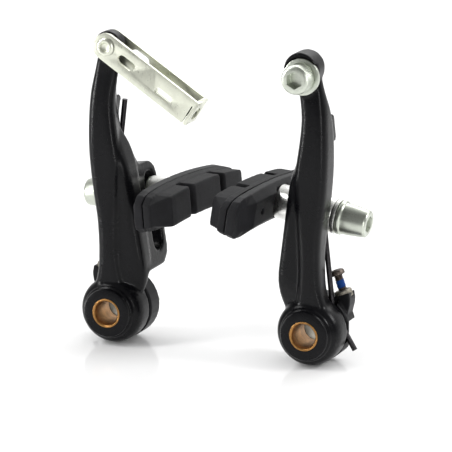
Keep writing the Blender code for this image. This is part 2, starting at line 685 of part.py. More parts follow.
def make_backing(name):
    """Moulded carrier of the shoe, with a raised and chamfered middle on its back."""
    half = SHOE_LENGTH / 2
    back = SHOE_BACK_X
    parting = back - BACKING_THICKNESS
    tall = BACKING_HEIGHT / 2

    def section(distance, raised, share):
        crest = back - BACKING_RAISED * (1 - raised)
        low = back - BACKING_RAISED - 0.3
        return shoe_ring(distance, [
            (parting, -tall + 0.4), (low, -tall), (crest, -tall + 2.6), (crest, tall - 2.6), (low, tall),
            (parting, tall - 0.4),
        ], share)

    ends = [(-half, 0.0, 0.62), (-half + 3.0, 0.05, 0.92), (-half + 7.0, 0.35, 1.0), (-half + 12.0, 1.0, 1.0)]
    middle = [(s, 1.0, 1.0) for s in even_stations(-half + 16.0, half - 16.0, 7)]
    rings = [section(*s) for s in ends + middle + [(-d, raised, share) for d, raised, share in reversed(ends)]]
    backing = piece_from(loft(rings), name, "backing_plastic")
    recess = turned_along_x([(0, back - BACKING_RECESS_DEPTH), (BACKING_RECESS_R, back - BACKING_RECESS_DEPTH),
                             (BACKING_RECESS_R, back + OVERRUN), (0, back + OVERRUN)])
    cut(backing, tool_from(shifted(recess, y=POST_Y, z=POST_Z)))
    head_face = parting + STUD_HEAD_THICKNESS + 2 * CLEAR
    stud_hole = turned_along_x([
        (0, parting - OVERRUN), (STUD_HEAD_R + CLEAR, parting - OVERRUN), (STUD_HEAD_R + CLEAR, head_face),
        (SHOE_STUD_R + CLEAR, head_face), (SHOE_STUD_R + CLEAR, back + OVERRUN), (0, back + OVERRUN),
    ])
    cut(backing, tool_from(shifted(stud_hole, y=POST_Y, z=POST_Z)))
    key_hole = turned_along_x([(0, back - 1.6), (1.0, back - 1.6), (1.0, back + OVERRUN), (0, back + OVERRUN)], 16)
    cut(backing, tool_from(shifted(key_hole, y=POST_Y - 17.0, z=POST_Z + 0.6)))
    return backing


def make_friction_pad(name):
    """Rubber block of the shoe: a base and three braking blocks with grooves between them."""
    half = SHOE_LENGTH / 2
    base_back = SHOE_BACK_X - BACKING_THICKNESS - CLEAR
    base_front = base_back - PAD_BASE_THICKNESS
    face = base_front - PAD_BLOCK_THICKNESS
    tall = BACKING_HEIGHT / 2
    face_tall = PAD_BLOCK_HEIGHT / 2

    def base(distance, share):
        return shoe_ring(distance, [(base_back, -tall + 0.4), (base_front, -tall + 1.0), (base_front, tall - 1.0),
                                    (base_back, tall - 0.4)], share)

    ends = [(-half, 0.62), (-half + 3.0, 0.92), (-half + 7.0, 1.0)]
    middle = [(s, 1.0) for s in even_stations(-half + 13.0, half - 13.0, 8)]
    rings = [base(*s) for s in ends + middle + [(-d, share) for d, share in reversed(ends)]]
    pad = piece_from(loft(rings), name, "pad_rubber")

    def block_ring(distance, depth, share):
        front = base_front - PAD_BLOCK_THICKNESS * depth
        front_tall = tall - 1.0 + (face_tall - tall + 1.0) * depth
        return shoe_ring(distance, [(base_front + 1.0, -tall + 1.2), (front, -front_tall + 0.6),
                                    (front - 0.3 * depth, -front_tall + 1.6), (front - 0.3 * depth, front_tall - 1.6),
                                    (front, front_tall - 0.6), (base_front + 1.0, tall - 1.2)], share)

    third = (SHOE_LENGTH - 2 * PAD_GROOVE) / 3
    edges = [(-half, -half + third), (-third / 2, third / 2), (half - third, half)]
    for number, (low, high) in enumerate(edges):
        first = [(low + 0.8, 0.02, 0.66), (low + 6.5, 0.97, 0.97)] if number == 0 else [(low, 0.9, 1.0), (low + 0.5, 1.0, 1.0)]
        last = ([(high - 6.5, 0.97, 0.97), (high - 0.8, 0.02, 0.66)] if number == 2
                else [(high - 0.5, 1.0, 1.0), (high, 0.9, 1.0)])
        middle_s = [(s, 1.0, 1.0) for s in even_stations(first[-1][0] + 3.0, last[0][0] - 3.0, 3)]
        join(pad, tool_from(loft([block_ring(*s) for s in first + middle_s + last])))
    return pad


def make_stud(name):
    """Threaded post of the shoe, with its head inside the backing."""
    head_back = SHOE_BACK_X - BACKING_THICKNESS + CLEAR
    neck = head_back + STUD_HEAD_THICKNESS
    end = nut_base_x() + NUT_THREAD_LENGTH - 1.0
    edit = turned_along_x([(0, head_back), (STUD_HEAD_R, head_back), (STUD_HEAD_R, neck), (SHOE_STUD_R, neck),
                           (SHOE_STUD_R, end - 0.5), (SHOE_STUD_R - 0.5, end), (0, end)])
    return piece_from(shifted(edit, y=POST_Y, z=POST_Z), name, "zinc_steel")


def plate_middle_x():
    return PLATE_INNER_X + PLATE_THICKNESS / 2


def nut_base_x():
    return plate_middle_x() + OUTER_CUP_REACH + CLEAR + POST_WASHER_THICKNESS + CLEAR


def washer_on_stud(name, profile, is_inner, finish_name):
    """Turn a washer whose outline counts x from the plate's middle outwards, and mirror it for the inner side."""
    edit = turned_along_x(profile)
    if is_inner:
        bmesh.ops.scale(edit, vec=(-1, 1, 1), verts=edit.verts)
    return piece_from(shifted(edit, plate_middle_x(), POST_Y, POST_Z), name, finish_name)


def sphere_arc(radius, from_r, to_r, steps=3):
    """Outline points of a ball about the plate's middle, as (radius, x)."""
    start, end = asin(from_r / radius), asin(to_r / radius)
    angles = [start + (end - start) * i / steps for i in range(steps + 1)]
    return [(radius * sin(t), radius * cos(t)) for t in angles]


def make_ball_washer(name, is_inner):
    """Domed washer against the plate. Both domes share one centre in the middle of the plate."""
    face = PLATE_THICKNESS / 2 + CLEAR
    rim = face + BALL_RIM
    dome_edge_r = sqrt(BALL_R ** 2 - rim ** 2)
    profile = [(BALL_HOLE_R, face), *sphere_arc(BALL_R, BALL_HOLE_R, min(dome_edge_r, BALL_WASHER_R - 0.1)),
               (BALL_WASHER_R, rim), (BALL_WASHER_R, face)]
    return washer_on_stud(name, profile, is_inner, "zinc_steel")


def make_cup_washer(name, is_inner):
    """Hollow washer that fits the dome and lets the shoe be toed in."""
    cup_r = BALL_R + CLEAR
    reach = OUTER_CUP_REACH
    if is_inner:
        reach = plate_middle_x() - SHOE_BACK_X + BACKING_RECESS_DEPTH - CLEAR
    hollow = sphere_arc(cup_r, CUP_HOLE_R, CUP_RIM_R)
    profile = [*reversed(hollow), (CUP_HOLE_R, reach), (CUP_WASHER_R - 0.4, reach), (CUP_WASHER_R, reach - 0.4),
               (CUP_WASHER_R, hollow[-1][1])]
    return washer_on_stud(name, profile, is_inner, "bright_washer")


def make_post_washer(name):
    near = OUTER_CUP_REACH + CLEAR
    far = near + POST_WASHER_THICKNESS
    hole = SHOE_STUD_R + CLEAR
    return washer_on_stud(name, [(hole, near), (hole, far), (POST_WASHER_R, far), (POST_WASHER_R, near)], False,
                          "bright_washer")


def make_post_nut(name):
    """Tapered cap nut with a hexagon socket in its end."""
    base = nut_base_x()
    hole = SHOE_STUD_R + 0.1
    end = base + NUT_LENGTH
    edit = turned_along_x([
        (hole, base), (NUT_FLANGE_R, base), (NUT_FLANGE_R, base + NUT_FLANGE - 0.3), (NUT_BASE_R, base + NUT_FLANGE),
        (NUT_BASE_R - 0.1, base + NUT_FLANGE + 2.5), (NUT_END_R, end - 0.6), (NUT_END_R - 0.5, end),
        (HEX_KEY / 2 - 0.4, end), (HEX_KEY / 2 - 0.4, base + NUT_THREAD_LENGTH), (hole, base + NUT_THREAD_LENGTH),
    ])
    nut = piece_from(shifted(edit, y=POST_Y, z=POST_Z), name, "zinc_steel")
    socket = [(POST_Y + a, POST_Z + b) for a, b in hexagon(HEX_KEY)]
    cut(nut, tool_from(prism(socket, "yz", end - HEX_DEPTH, end + OVERRUN)))
    return nut


def make_cable_link():
    """Folded sheet bracket: two slotted cheeks and an end wall with the hole of the cable's guide pipe."""
    front = EYE_FRONT_Y - CLEAR - LINK_SHEET
    back = EYE_FRONT_Y + EYE_THICKNESS + CLEAR + LINK_SHEET
    half = LINK_WIDTH / 2
    cheek = arc(0, 0, half, 90, 270, 12) + [(LINK_LENGTH - 1.0, -half), (LINK_LENGTH, -half + 1.0),
                                            (LINK_LENGTH, half - 1.0), (LINK_LENGTH - 1.0, half)]
    link = piece_from(prism(cheek, "xz", front, back), "cable_link", "link_steel")
    cut(link, tool_from(block((-half - OVERRUN, front + LINK_SHEET, -half - OVERRUN),
                              (LINK_LENGTH - LINK_SHEET, back - LINK_SHEET, half + OVERRUN))))
    for place in LINK_SLOT_PLACES:
        slot = [(b, a) for a, b in oblong(0, place - LINK_SLOT_LENGTH / 2, place + LINK_SLOT_LENGTH / 2,
                                          LINK_SLOT_WIDTH / 2, 6)]
        cut(link, tool_from(prism(slot, "xz", front - OVERRUN, back + OVERRUN)))
    pivot = circle(0, 0, RIVET_R + 0.1, 16)
    cut(link, tool_from(prism(pivot, "xz", front - OVERRUN, back + OVERRUN)))
    middle_y = (front + back) / 2
    pipe_hole = circle(middle_y, NOODLE_HOLE_PLACE, NOODLE_HOLE_R, 16)
    cut(link, tool_from(prism(pipe_hole, "yz", LINK_LENGTH - LINK_SHEET - OVERRUN, LINK_LENGTH + OVERRUN)))
    slit_x = LINK_LENGTH - LINK_SHEET - LINK_SLIT
    cut(link, tool_from(block((slit_x, front - OVERRUN, -half - OVERRUN),
                              (LINK_LENGTH - LINK_SHEET, front + LINK_SHEET + 0.01, half - LINK_FOLD_HEIGHT))))
    cut(link, tool_from(block((slit_x, front - OVERRUN, -half - OVERRUN),
                              (LINK_LENGTH + OVERRUN, front + LINK_SHEET * 0.5, half - LINK_FOLD_HEIGHT))))
    return link


def make_rivet(name):
    """Headed pin of the link: its front head is flat and dished, its back end is upset."""
    front = EYE_FRONT_Y - CLEAR - LINK_SHEET
    back = EYE_FRONT_Y + EYE_THICKNESS + CLEAR + LINK_SHEET
    start, end = front - CLEAR - RIVET_HEAD_PROUD, back + CLEAR + RIVET_HEAD_PROUD
    edit = turned([
        (0, start + 0.25), (1.0, start + 0.2), (RIVET_HEAD_R - 0.7, start), (RIVET_HEAD_R, start + 0.4),
        (RIVET_HEAD_R, front - CLEAR), (RIVET_R, front - CLEAR), (RIVET_R, back + CLEAR), (RIVET_HEAD_R, back + CLEAR),
        (RIVET_HEAD_R, end - 0.3), (RIVET_HEAD_R - 0.6, end), (0, end),
    ])
    return piece_from(shifted(edit, x=LINK_PIVOT_X, z=LINK_PIVOT_Z), name, "link_steel")


def anchor_washer_front():
    return ANCHOR_FLOOR_Y - CLEAR - ANCHOR_WASHER_THICKNESS


def make_anchor_washer(name):
    front = anchor_washer_front()
    hole = ANCHOR_BOLT_R + CLEAR
    edit = turned([(hole, front), (ANCHOR_WASHER_R - 0.3, front), (ANCHOR_WASHER_R, front + 0.3),
                   (ANCHOR_WASHER_R, front + ANCHOR_WASHER_THICKNESS), (hole, front + ANCHOR_WASHER_THICKNESS)])
    return piece_from(shifted(edit, x=ANCHOR_X, z=ANCHOR_Z), name, "zinc_steel")


def make_anchor_bolt(name):
    """Socket-head bolt that clamps the cable on the right arm."""
    seat = anchor_washer_front() - CLEAR
    top = seat - ANCHOR_SOCKET_HEAD_LENGTH
    end = ANCHOR_HEAD_BACK_Y + 1.5
    edit = turned([
        (0, top), (ANCHOR_SOCKET_HEAD_R - 0.9, top), (ANCHOR_SOCKET_HEAD_R, top + 0.9), (ANCHOR_SOCKET_HEAD_R, seat),
        (ANCHOR_BOLT_R, seat), (ANCHOR_BOLT_R, end - 0.6), (ANCHOR_BOLT_R - 0.6, end), (0, end),
    ])
    bolt = piece_from(shifted(edit, x=ANCHOR_X, z=ANCHOR_Z), name, "zinc_steel")
    socket = [(ANCHOR_X + a, ANCHOR_Z + b) for a, b in hexagon(HEX_KEY)]
    cut(bolt, tool_from(prism(socket, "xz", top - OVERRUN, top + HEX_DEPTH)))
    return bolt


def put_on(piece, holder, side, origin=(0.0, 0.0, 0.0), is_holder_there=False):
    """Mirror a piece for its side, bring its origin to a joint axis and parent it to its holder."""
    matrix = Matrix.Diagonal((side, 1, 1, 1)) @ Matrix.Translation(Vector(origin) * -MM)
    if piece.type == "MESH":
        piece.data.transform(matrix)
        if side < 0:
            piece.data.flip_normals()
        if not is_holder_there:
            piece.location = (side * origin[0] * MM, origin[1] * MM, origin[2] * MM)
    piece.parent = holder
    return piece


def empty(name, location, lean=0.0, holder=None):
    """An empty on a joint's axis, which carries the pieces that turn about it."""
    frame = bpy.data.objects.new(name, None)
    frame.empty_display_size = 0.01
    frame.location = location
    frame.rotation_euler = (0.0, radians(lean), 0.0)
    frame.parent = holder
    bpy.context.scene.collection.objects.link(frame)
    return frame


def make_side(word, side):
    """All the pieces of one side. Its pivot frame stands still, and its arm frame leans outwards."""
    pivot = empty(word + "_pivot_frame", (side * PIVOT_SPACING / 2 * MM, -SEAT_DEPTH * MM, 0.0))
    arm_frame = empty(word + "_arm_frame", (0.0, 0.0, 0.0), side * REST_LEAN, pivot)
    shoe_centre = (plate_middle_x(), POST_Y, POST_Z)
    shoe_place = (side * shoe_centre[0] * MM, shoe_centre[1] * MM, shoe_centre[2] * MM)
    shoe_frame = empty(word + "_shoe_frame", shoe_place, LEFT_SHOE_TILT if side < 0 else 0.0, arm_frame)

    put_on(make_collar(word + "_pivot_collar"), pivot, side)
    put_on(make_seat(word + "_spring_seat"), pivot, side)
    put_on(make_locating_pin(word + "_seat_pin"), pivot, side)
    put_on(make_insert(word + "_screw_insert"), pivot, side)
    put_on(make_tension_screw(word + "_tension_screw"), pivot, side, (LUG_X, SCREW_Y, LUG_Z))
    put_on(make_spring(word + "_return_spring", side), pivot, side)

    put_on(make_arm(word + "_arm", side < 0), arm_frame, side)
    put_on(make_bush(word + "_pivot_bush"), arm_frame, side)
    put_on(make_ball_washer(word + "_inner_ball_washer", True), arm_frame, side, shoe_centre)
    put_on(make_ball_washer(word + "_outer_ball_washer", False), arm_frame, side, shoe_centre)
    put_on(make_cup_washer(word + "_inner_cup_washer", True), shoe_frame, side, shoe_centre, True)
    put_on(make_cup_washer(word + "_outer_cup_washer", False), shoe_frame, side, shoe_centre, True)
    put_on(make_stud(word + "_shoe_stud"), shoe_frame, side, shoe_centre, True)
    put_on(make_backing(word + "_shoe_backing"), shoe_frame, side, shoe_centre, True)
    put_on(make_friction_pad(word + "_friction_pad"), shoe_frame, side, shoe_centre, True)
    put_on(make_post_washer(word + "_post_washer"), shoe_frame, side, shoe_centre, True)
    put_on(make_post_nut(word + "_post_nut"), shoe_frame, side, shoe_centre, True)
    return arm_frame


def make_brake():
    left_frame = make_side("left", -1)
    right_frame = make_side("right", 1)
    put_on(make_rivet("link_rivet"), left_frame, -1)
    link = make_cable_link()
    link.parent = left_frame
    link.location = (-LINK_PIVOT_X * MM, 0.0, LINK_PIVOT_Z * MM)
    link.rotation_euler = (0.0, radians(LINK_ANGLE + REST_LEAN), 0.0)
    put_on(make_anchor_washer("anchor_washer"), right_frame, 1)
    put_on(make_anchor_bolt("anchor_bolt"), right_frame, 1)


def main():
    for old in list(bpy.data.objects):
        bpy.data.objects.remove(old)
    make_brake()


main()
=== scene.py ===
"""Looks of a mini V-brake: finishes, forged and moulded surfaces, threads, wire, floor, light and camera.

Run it with Blender in the background, or open it in the text editor. Lengths are in metres.
"""

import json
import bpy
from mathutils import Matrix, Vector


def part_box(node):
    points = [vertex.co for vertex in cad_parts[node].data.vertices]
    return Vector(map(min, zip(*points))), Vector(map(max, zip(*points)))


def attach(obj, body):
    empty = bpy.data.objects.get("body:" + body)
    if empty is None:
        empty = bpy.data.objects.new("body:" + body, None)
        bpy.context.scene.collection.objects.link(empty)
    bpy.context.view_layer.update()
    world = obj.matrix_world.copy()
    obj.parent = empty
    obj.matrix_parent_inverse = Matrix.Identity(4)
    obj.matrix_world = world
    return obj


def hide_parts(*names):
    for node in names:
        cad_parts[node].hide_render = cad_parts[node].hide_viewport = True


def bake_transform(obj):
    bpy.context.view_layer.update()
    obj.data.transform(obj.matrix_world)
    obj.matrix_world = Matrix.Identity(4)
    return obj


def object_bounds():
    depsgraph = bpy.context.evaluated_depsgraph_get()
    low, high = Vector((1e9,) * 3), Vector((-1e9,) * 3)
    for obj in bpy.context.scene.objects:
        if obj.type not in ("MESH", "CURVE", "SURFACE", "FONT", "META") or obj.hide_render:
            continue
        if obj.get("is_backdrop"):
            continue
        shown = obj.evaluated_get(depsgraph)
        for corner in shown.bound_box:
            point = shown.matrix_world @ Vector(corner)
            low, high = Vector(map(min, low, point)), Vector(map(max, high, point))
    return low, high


bl_info = {
    "name": "Mini V-brake looks",
    "version": (1, 0, 0),
    "blender": (4, 5, 0),
    "location": "View3D > Sidebar > Brake",
    "description": "Dresses the packed brake model with its finishes and fine forms, on a pale studio floor",
    "category": "Object",
}

from math import asin, atan2, cos, pi, radians, sin, sqrt

import bpy
from mathutils import Matrix, Vector

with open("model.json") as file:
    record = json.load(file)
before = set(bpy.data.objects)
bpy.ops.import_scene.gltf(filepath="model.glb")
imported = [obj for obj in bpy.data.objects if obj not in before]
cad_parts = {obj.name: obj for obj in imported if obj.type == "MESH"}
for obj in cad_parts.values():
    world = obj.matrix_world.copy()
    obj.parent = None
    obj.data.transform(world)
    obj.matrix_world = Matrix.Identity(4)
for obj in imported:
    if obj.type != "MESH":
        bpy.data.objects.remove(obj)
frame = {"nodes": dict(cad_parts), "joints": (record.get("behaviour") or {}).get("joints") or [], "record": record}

MM = 0.001
SIDES = {"left": -1, "right": 1}
JOINTS = {joint["name"]: joint for joint in frame["joints"]}
PIVOT = {word: Vector(JOINTS[word + "_arm_pivot"]["pos_m"]) for word in SIDES}
SHOE_CENTRE = {word: Vector(JOINTS[word + "_shoe_turn"]["pos_m"]) for word in SIDES}
POST_AXIS = {word: Vector(JOINTS[word + "_shoe_turn"]["axis"]).normalized() for word in SIDES}
SLOT_AXIS = {word: Vector(JOINTS[word + "_shoe_height"]["axis"]).normalized() for word in SIDES}
SCREW_AXIS = {word: Vector(JOINTS[word + "_spring_tension"]["axis"]).normalized() for word in SIDES}
REARWARDS = Vector((0.0, 1.0, 0.0))
LINK_PIVOT = Vector(JOINTS["link_pivot"]["pos_m"])
MOUNTS = {mount["name"]: mount for mount in frame["record"]["mounts"]}
LINK_DIRECTION = Vector(MOUNTS["guide_pipe_face"]["axis"]).normalized()

# Facets round the turned pieces, the threads and the cutters
TURNED_STEPS = 80
CUTTER_STEPS = 96
BARREL_STEPS = 128
SLEEVE_STEPS = 96
RIVET_STEPS = 72
SMALL_STEPS = 64
PIN_STEPS = 48
THREAD_STEPS = 48
OVERRUN = 1.0 * MM          # how far a cutter runs past a face

# Outlines: steps outwards and along the axis, in millimetres, from a radius and a face
BARREL_RIM = (
    (-0.5, 0.0), (-0.15, 0.12), (0.0, 0.45), (0.0, 1.15), (0.12, 1.3), (0.45, 1.45), (0.75, 1.9), (1.0, 2.6),
    (0.6, 3.4),
)
BORE_CHAMFER = ((0.0, 0.45), (0.38, 0.0))
SLEEVE_CORNER = ((-0.12, 0.0), (0.0, 0.12))
PIN_TIP = ((0.0, -0.5), (-0.4, 0.0))
NUT_FLANGE = ((-0.2, 0.0), (0.0, 0.2), (0.0, 1.15), (-0.2, 1.45))
NUT_BODY = ((0.0, 1.6), (0.0, 2.5), (-0.1, 4.1))
NUT_TIP = ((0.08, -0.9), (-0.1, -0.35), (-0.5, 0.0))
CUP_RIM = ((-0.5, 0.0), (-0.15, -0.12), (0.0, -0.4))
INSERT_CORNER = ((-0.3, 0.0), (0.0, 0.3))
SCREW_HEAD = ((-0.7, 0.05), (-0.2, 0.3), (0.0, 0.75), (0.0, 1.55), (-0.25, 1.8))
BOLT_HEAD = ((-1.25, 0.0), (-0.75, 0.1), (-0.25, 0.45), (0.0, 1.0), (0.0, 5.5), (-0.3, 5.8))
RIVET_HOLLOW = ((0.7, 0.75), (1.25, 0.6), (1.6, 0.12), (1.95, 0.0))
RIVET_RIM = ((-0.75, 0.04), (-0.35, 0.22), (0.0, 0.6))
RIVET_BACK = ((0.0, -0.3), (-0.5, 0.0))

# Barrels and bushes
BUSH_PROUD = 0.15 * MM      # the bush stands before the barrel's face
PRESS_FIT = 0.05 * MM
PLUG_LAP = 0.3 * MM
PLUG_INSET = 0.02 * MM
BARREL_CUT = 1.9 * MM       # depth of the skin that the crisp front replaces
BARREL_CORE = 2 * MM        # inner radius of the crisp front before it is bored
BARREL_FACE_SHARE = 0.73    # radius of its flat face, as a share of the barrel's
SLEEVE_EDGE = 0.05 * MM
COLLAR_EDGE = 0.15 * MM

# Shoes' studs, nuts and washers
STUD_HEAD = 1.8 * MM
STUD_PLAY = 0.12 * MM
STUD_STEP = 0.1 * MM        # from the plain shank down to the thread's core
STUD_THREAD = 0.5 * MM      # depth of the thread
STUD_THREAD_START = -4 * MM
THREAD_RELIEF = 0.4 * MM    # from the last thread to the tip
NUT_BODY_SHARE = 0.915
NUT_TIP_SHARE = 0.79
NUT_EDGE = 0.1 * MM
BALL_LIP = 0.4 * MM         # height of a ball washer's straight rim
BALL_RIM = 0.1 * MM
CUP_WALL = 0.6 * MM

# Springs, seats and tension screws
COIL_TURNS = 2
COIL_STEPS = 96
LEG_STEPS = 24
LEG_DROP_SHARE = 0.05       # the long leg ends this share of the wire below the solid's top
SEAT_GRID_SHARE = 0.9
SEAT_SOFTNESS = 3
INSERT_FACE = 0.35 * MM
SCREW_ROOM = 1.8 * MM       # below a screw's tip
SCREW_PLAY = 0.25 * MM      # round a screw in the seat
SCREW_SHANK_SHARE = 0.6     # radius of the thread, as a share of the head's
SCREW_FACE_SHARE = 0.35     # radius of the head's flat middle, as a share of the head's
SCREW_NECK = 1.8 * MM       # height of the head
SCREW_THREAD = 0.3 * MM
RECESS_TURNS = (20.0, 110.0)
RECESS_SIZES = (0.36 * MM, 1.2 * MM)    # end radius and half length of each arm
RECESS_DEPTH = 0.95 * MM
PATCH_PROUD = 0.06 * MM
PATCH_DEPTH = 0.24 * MM
PATCH_START = 1.5 * MM
PATCH_END = 4.0 * MM

# Cable anchor
BOLT_SEAT = 5.8 * MM
BOLT_SHANK = 3.0 * MM
BOLT_THREAD = 0.4 * MM
KNURL_GROOVES = 48
KNURL_SHARE = 0.955         # radius of the grooves, as a share of the head's
WASHER_EDGE = 0.2 * MM

# Cable link and rivet
RIVET_SHANK = 1.9 * MM
RIVET_HOLE = 2.0 * MM
RIVET_PLAY = 0.3 * MM
PIPE_HOLE = 2.3 * MM
PIPE_HOLE_DROP = 0.6 * MM
LINK_SLIT = 0.4 * MM
SLIT_LAP = 0.01 * MM
LINK_FOLD = 2.2 * MM        # above the slit
LINK_EDGE = 0.18 * MM

# Slots of the cable link: distance from its rivet, rise, end radius, half length
LINK_FRONT_SLOTS = (
    (8.9 * MM, 0.0, 1.5 * MM, 1.9 * MM),
    (25.0 * MM, -0.9 * MM, 1.25 * MM, 2.2 * MM),
)
LINK_BACK_SLOTS = (
    (10.1 * MM, 1.3 * MM, 1.9 * MM, 1.8 * MM),
    (24.2 * MM, -2.4 * MM, 1.7 * MM, 2.8 * MM),
)

FLOOR_GAP = 0.05 * MM
BACKDROP_STARTS, BACKDROP_FULL = -0.1, 0.5     # how far rearwards a reflected ray points
LAMP_AIM = Vector((0.0, 0.0, 0.04))

# Lamps: name, place, size, power in watts
LAMPS = (
    ("key_lamp", (-0.75, -0.55, 0.95), (0.30, 0.6), 6.0),
    ("side_lamp", (1.0, 0.20, 0.70), (0.30, 0.35), 6.0),
    ("strip_lamp", (0.63, -0.79, 0.16), (0.06, 0.42), 1.8),
    ("left_strip_lamp", (-0.85, -0.60, 0.16), (0.08, 0.42), 5.0),
    ("back_lamp", (0.15, 0.9, 0.9), (1.2, 0.6), 6.0),
)


def length(name, description, millimetres):
    """A length that a user can change, given in millimetres."""
    return bpy.props.FloatProperty(
        name=name, description=description, default=millimetres * MM, min=0.0, unit="LENGTH", precision=5
    )


def colour(name, description, value):
    """A colour that a user can change."""
    return bpy.props.FloatVectorProperty(
        name=name, description=description, default=value, size=3, min=0.0, max=1.0, subtype="COLOR"
    )


def factor(name, description, value):
    """A share from 0 to 1 that a user can change."""
    return bpy.props.FloatProperty(
        name=name, description=description, default=value, min=0.0, max=1.0, subtype="FACTOR"
    )


def rounds(name, description, count):
    """A number of rounds that a user can change."""
    return bpy.props.IntProperty(name=name, description=description, default=count, min=0)


def angle(name, description, turn):
    """An angle that a user can change, given in degrees."""
    return bpy.props.FloatProperty(
        name=name, description=description, default=radians(turn), subtype="ANGLE", unit="ROTATION"
    )


class FinishSettings(bpy.types.PropertyGroup):
    """Colours and roughness of the brake's finishes."""

    paint: colour("Paint", "Black paint of the forged arms", (0.0022, 0.0022, 0.0028))
    paint_roughness: factor("Paint roughness", "Roughness of the arms' paint", 0.27)
    bronze: colour("Bronze", "Sintered bronze of the pivot bushes", (0.41, 0.21, 0.07))
    zinc: colour("Zinc plate", "Zinc plated steel of nuts, bolt and pins", (0.54, 0.57, 0.50))
    bright: colour("Bright washer", "Pale metal of the cup washers", (0.83, 0.83, 0.80))
    link: colour("Link steel", "Passivated sheet steel of the cable link", (0.68, 0.695, 0.59))
    rubber: colour("Rubber", "Braking rubber of the shoes", (0.009, 0.009, 0.0102))
    backing: colour("Backing", "Moulded backing of the shoes", (0.0085, 0.0085, 0.0098))
    plastic: colour("Plastic", "Black plastic of the spring seats", (0.006, 0.006, 0.007))
    wire: colour("Spring wire", "Black oxide on the spring wire", (0.030, 0.028, 0.030))
    screw: colour("Tension screw", "Dark steel of the tension screws", (0.10, 0.082, 0.070))
    # Darker than plain steel: on the collars deep in the bores this is painted shade, while the nut inserts have
    # it as their own dull tone
    dull_steel: colour("Dulled steel and bore shade", "Steel of the nut inserts, and of the collars darkened for painted shade in the bores", (0.27, 0.25, 0.21))
    thread_lock: colour("Thread lock", "Blue patch on the tension screws' threads", (0.010, 0.048, 0.20))


class FormSettings(bpy.types.PropertyGroup):
    """Fine forms of the pieces."""

    forging_grid: length("Forging grid", "Grid on which the arms' skin is remade", 0.42)
    forging_softness: rounds("Forging softness", "Rounds of smoothing on the arms' skin", 16)
    moulding_grid: length("Moulding grid", "Grid on which rubber and plastic skins are remade", 0.30)
    moulding_softness: rounds("Moulding softness", "Rounds of smoothing on rubber and plastic", 4)
    edge: length("Edge", "Width of the broken edges of turned and folded pieces", 0.14)
    thread_pitch: length("Thread pitch", "Pitch of the shoe studs' and the cable bolt's thread", 1.0)
    screw_pitch: length("Screw pitch", "Pitch of the tension screws' thread", 0.5)
    hexagon: length("Hexagon", "Key size of the sockets in the nuts and the cable bolt", 5.0)
    socket_depth: length("Socket depth", "Depth of the sockets", 3.2)
    wire: length("Wire", "Diameter of the spring wire", 1.8)
    coil: length("Coil", "Radius of the spring's coil, to the middle of the wire", 6.2)
    long_leg_lean: angle("Long leg", "How far the spring's long leg leans inwards", 6.6)
    short_leg_turn: angle("Short leg", "Where the spring's short leg leaves the coil", 31.4)
    short_leg: length("Short leg length", "Length of the spring's short leg", 12.6)
    ball: length("Ball", "Radius of the domes of the ball washers", 6.5)
    ball_play: length("Ball play", "Gap between the dome and its cup", 0.3)
    sheet: length("Sheet", "Thickness of the cable link's sheet", 1.2)


class StageSettings(bpy.types.PropertyGroup):
    """Camera, floor and light."""

    azimuth: angle("Camera azimuth", "Angle of the camera round the brake, from front to right", 23.0)
    elevation: angle("Camera elevation", "Angle of the camera above the level", 14.27)
    distance: length("Camera distance", "From the camera to the point that it looks at", 1050.0)
    lens: bpy.props.FloatProperty(
        name="Lens", description="Focal length in millimetres", default=255.0, min=1.0, unit="CAMERA"
    )
    aim: bpy.props.FloatVectorProperty(
        name="Aim", description="Point that the camera looks at", default=(0.0037, -0.0084, 0.0314), size=3,
        unit="LENGTH", subtype="TRANSLATION"
    )
    floor_size: length("Floor size", "Side of the square floor", 12000.0)
    floor: colour("Floor", "Colour of the floor", (0.93, 0.93, 0.93))
    surround: factor("Surround", "Strength of the light from all round", 0.80)
    studio: factor("Studio", "Brightness of the studio in front, as reflections show it", 0.22)
    backdrop: factor("Backdrop", "Brightness of the backdrop behind, as reflections show it", 0.95)


def settings():
    """The sizes and colours that the panel shows."""
    return bpy.context.scene.brake_looks


def select_only(piece):
    """Select this object alone and make it active."""
    bpy.ops.object.select_all(action="DESELECT")
    piece.select_set(True)
    bpy.context.view_layer.objects.active = piece


def added(add, **values):
    """The object that one of Blender's operators adds, with nothing else selected."""
    bpy.ops.object.select_all(action="DESELECT")
    add(**values)
    return bpy.context.active_object


def apply_place(piece):
    """Move an object's place, turn and scale into its mesh."""
    select_only(piece)
    bpy.ops.object.transform_apply(location=True, rotation=True, scale=True)


def add_modifier(piece, kind, **values):
    """Add a modifier to a piece, set its values and apply it."""
    select_only(piece)
    modifier = piece.modifiers.new(kind.lower(), kind)
    for key, value in values.items():
        setattr(modifier, key, value)
    bpy.ops.object.modifier_apply(modifier=modifier.name)


def boolean(piece, tool, operation="DIFFERENCE"):
    """Cut a piece with a tool or join the two, and remove the tool."""
    add_modifier(piece, "BOOLEAN", object=tool, operation=operation, solver="EXACT")
    bpy.data.objects.remove(tool)


def shade(piece, sharp_angle):
    """Smooth shading with edges that stay crisp."""
    select_only(piece)
    bpy.ops.object.shade_smooth_by_angle(angle=radians(sharp_angle))


def close_skin(piece, nearness=1e-7, has_holes=False):
    """Merge doubled points, fill the open ends if there are any, and turn all faces outwards."""
    select_only(piece)
    bpy.ops.object.mode_set(mode="EDIT")
    bpy.ops.mesh.select_all(action="SELECT")
    bpy.ops.mesh.remove_doubles(threshold=nearness)
    if has_holes:
        bpy.ops.mesh.fill_holes(sides=0)
    bpy.ops.mesh.normals_make_consistent(inside=False)
    bpy.ops.object.mode_set(mode="OBJECT")


def places_of(node):
    """The places of a solid's points."""
    solid = frame["nodes"][node]
    return [solid.matrix_world @ point.co for point in solid.data.vertices]


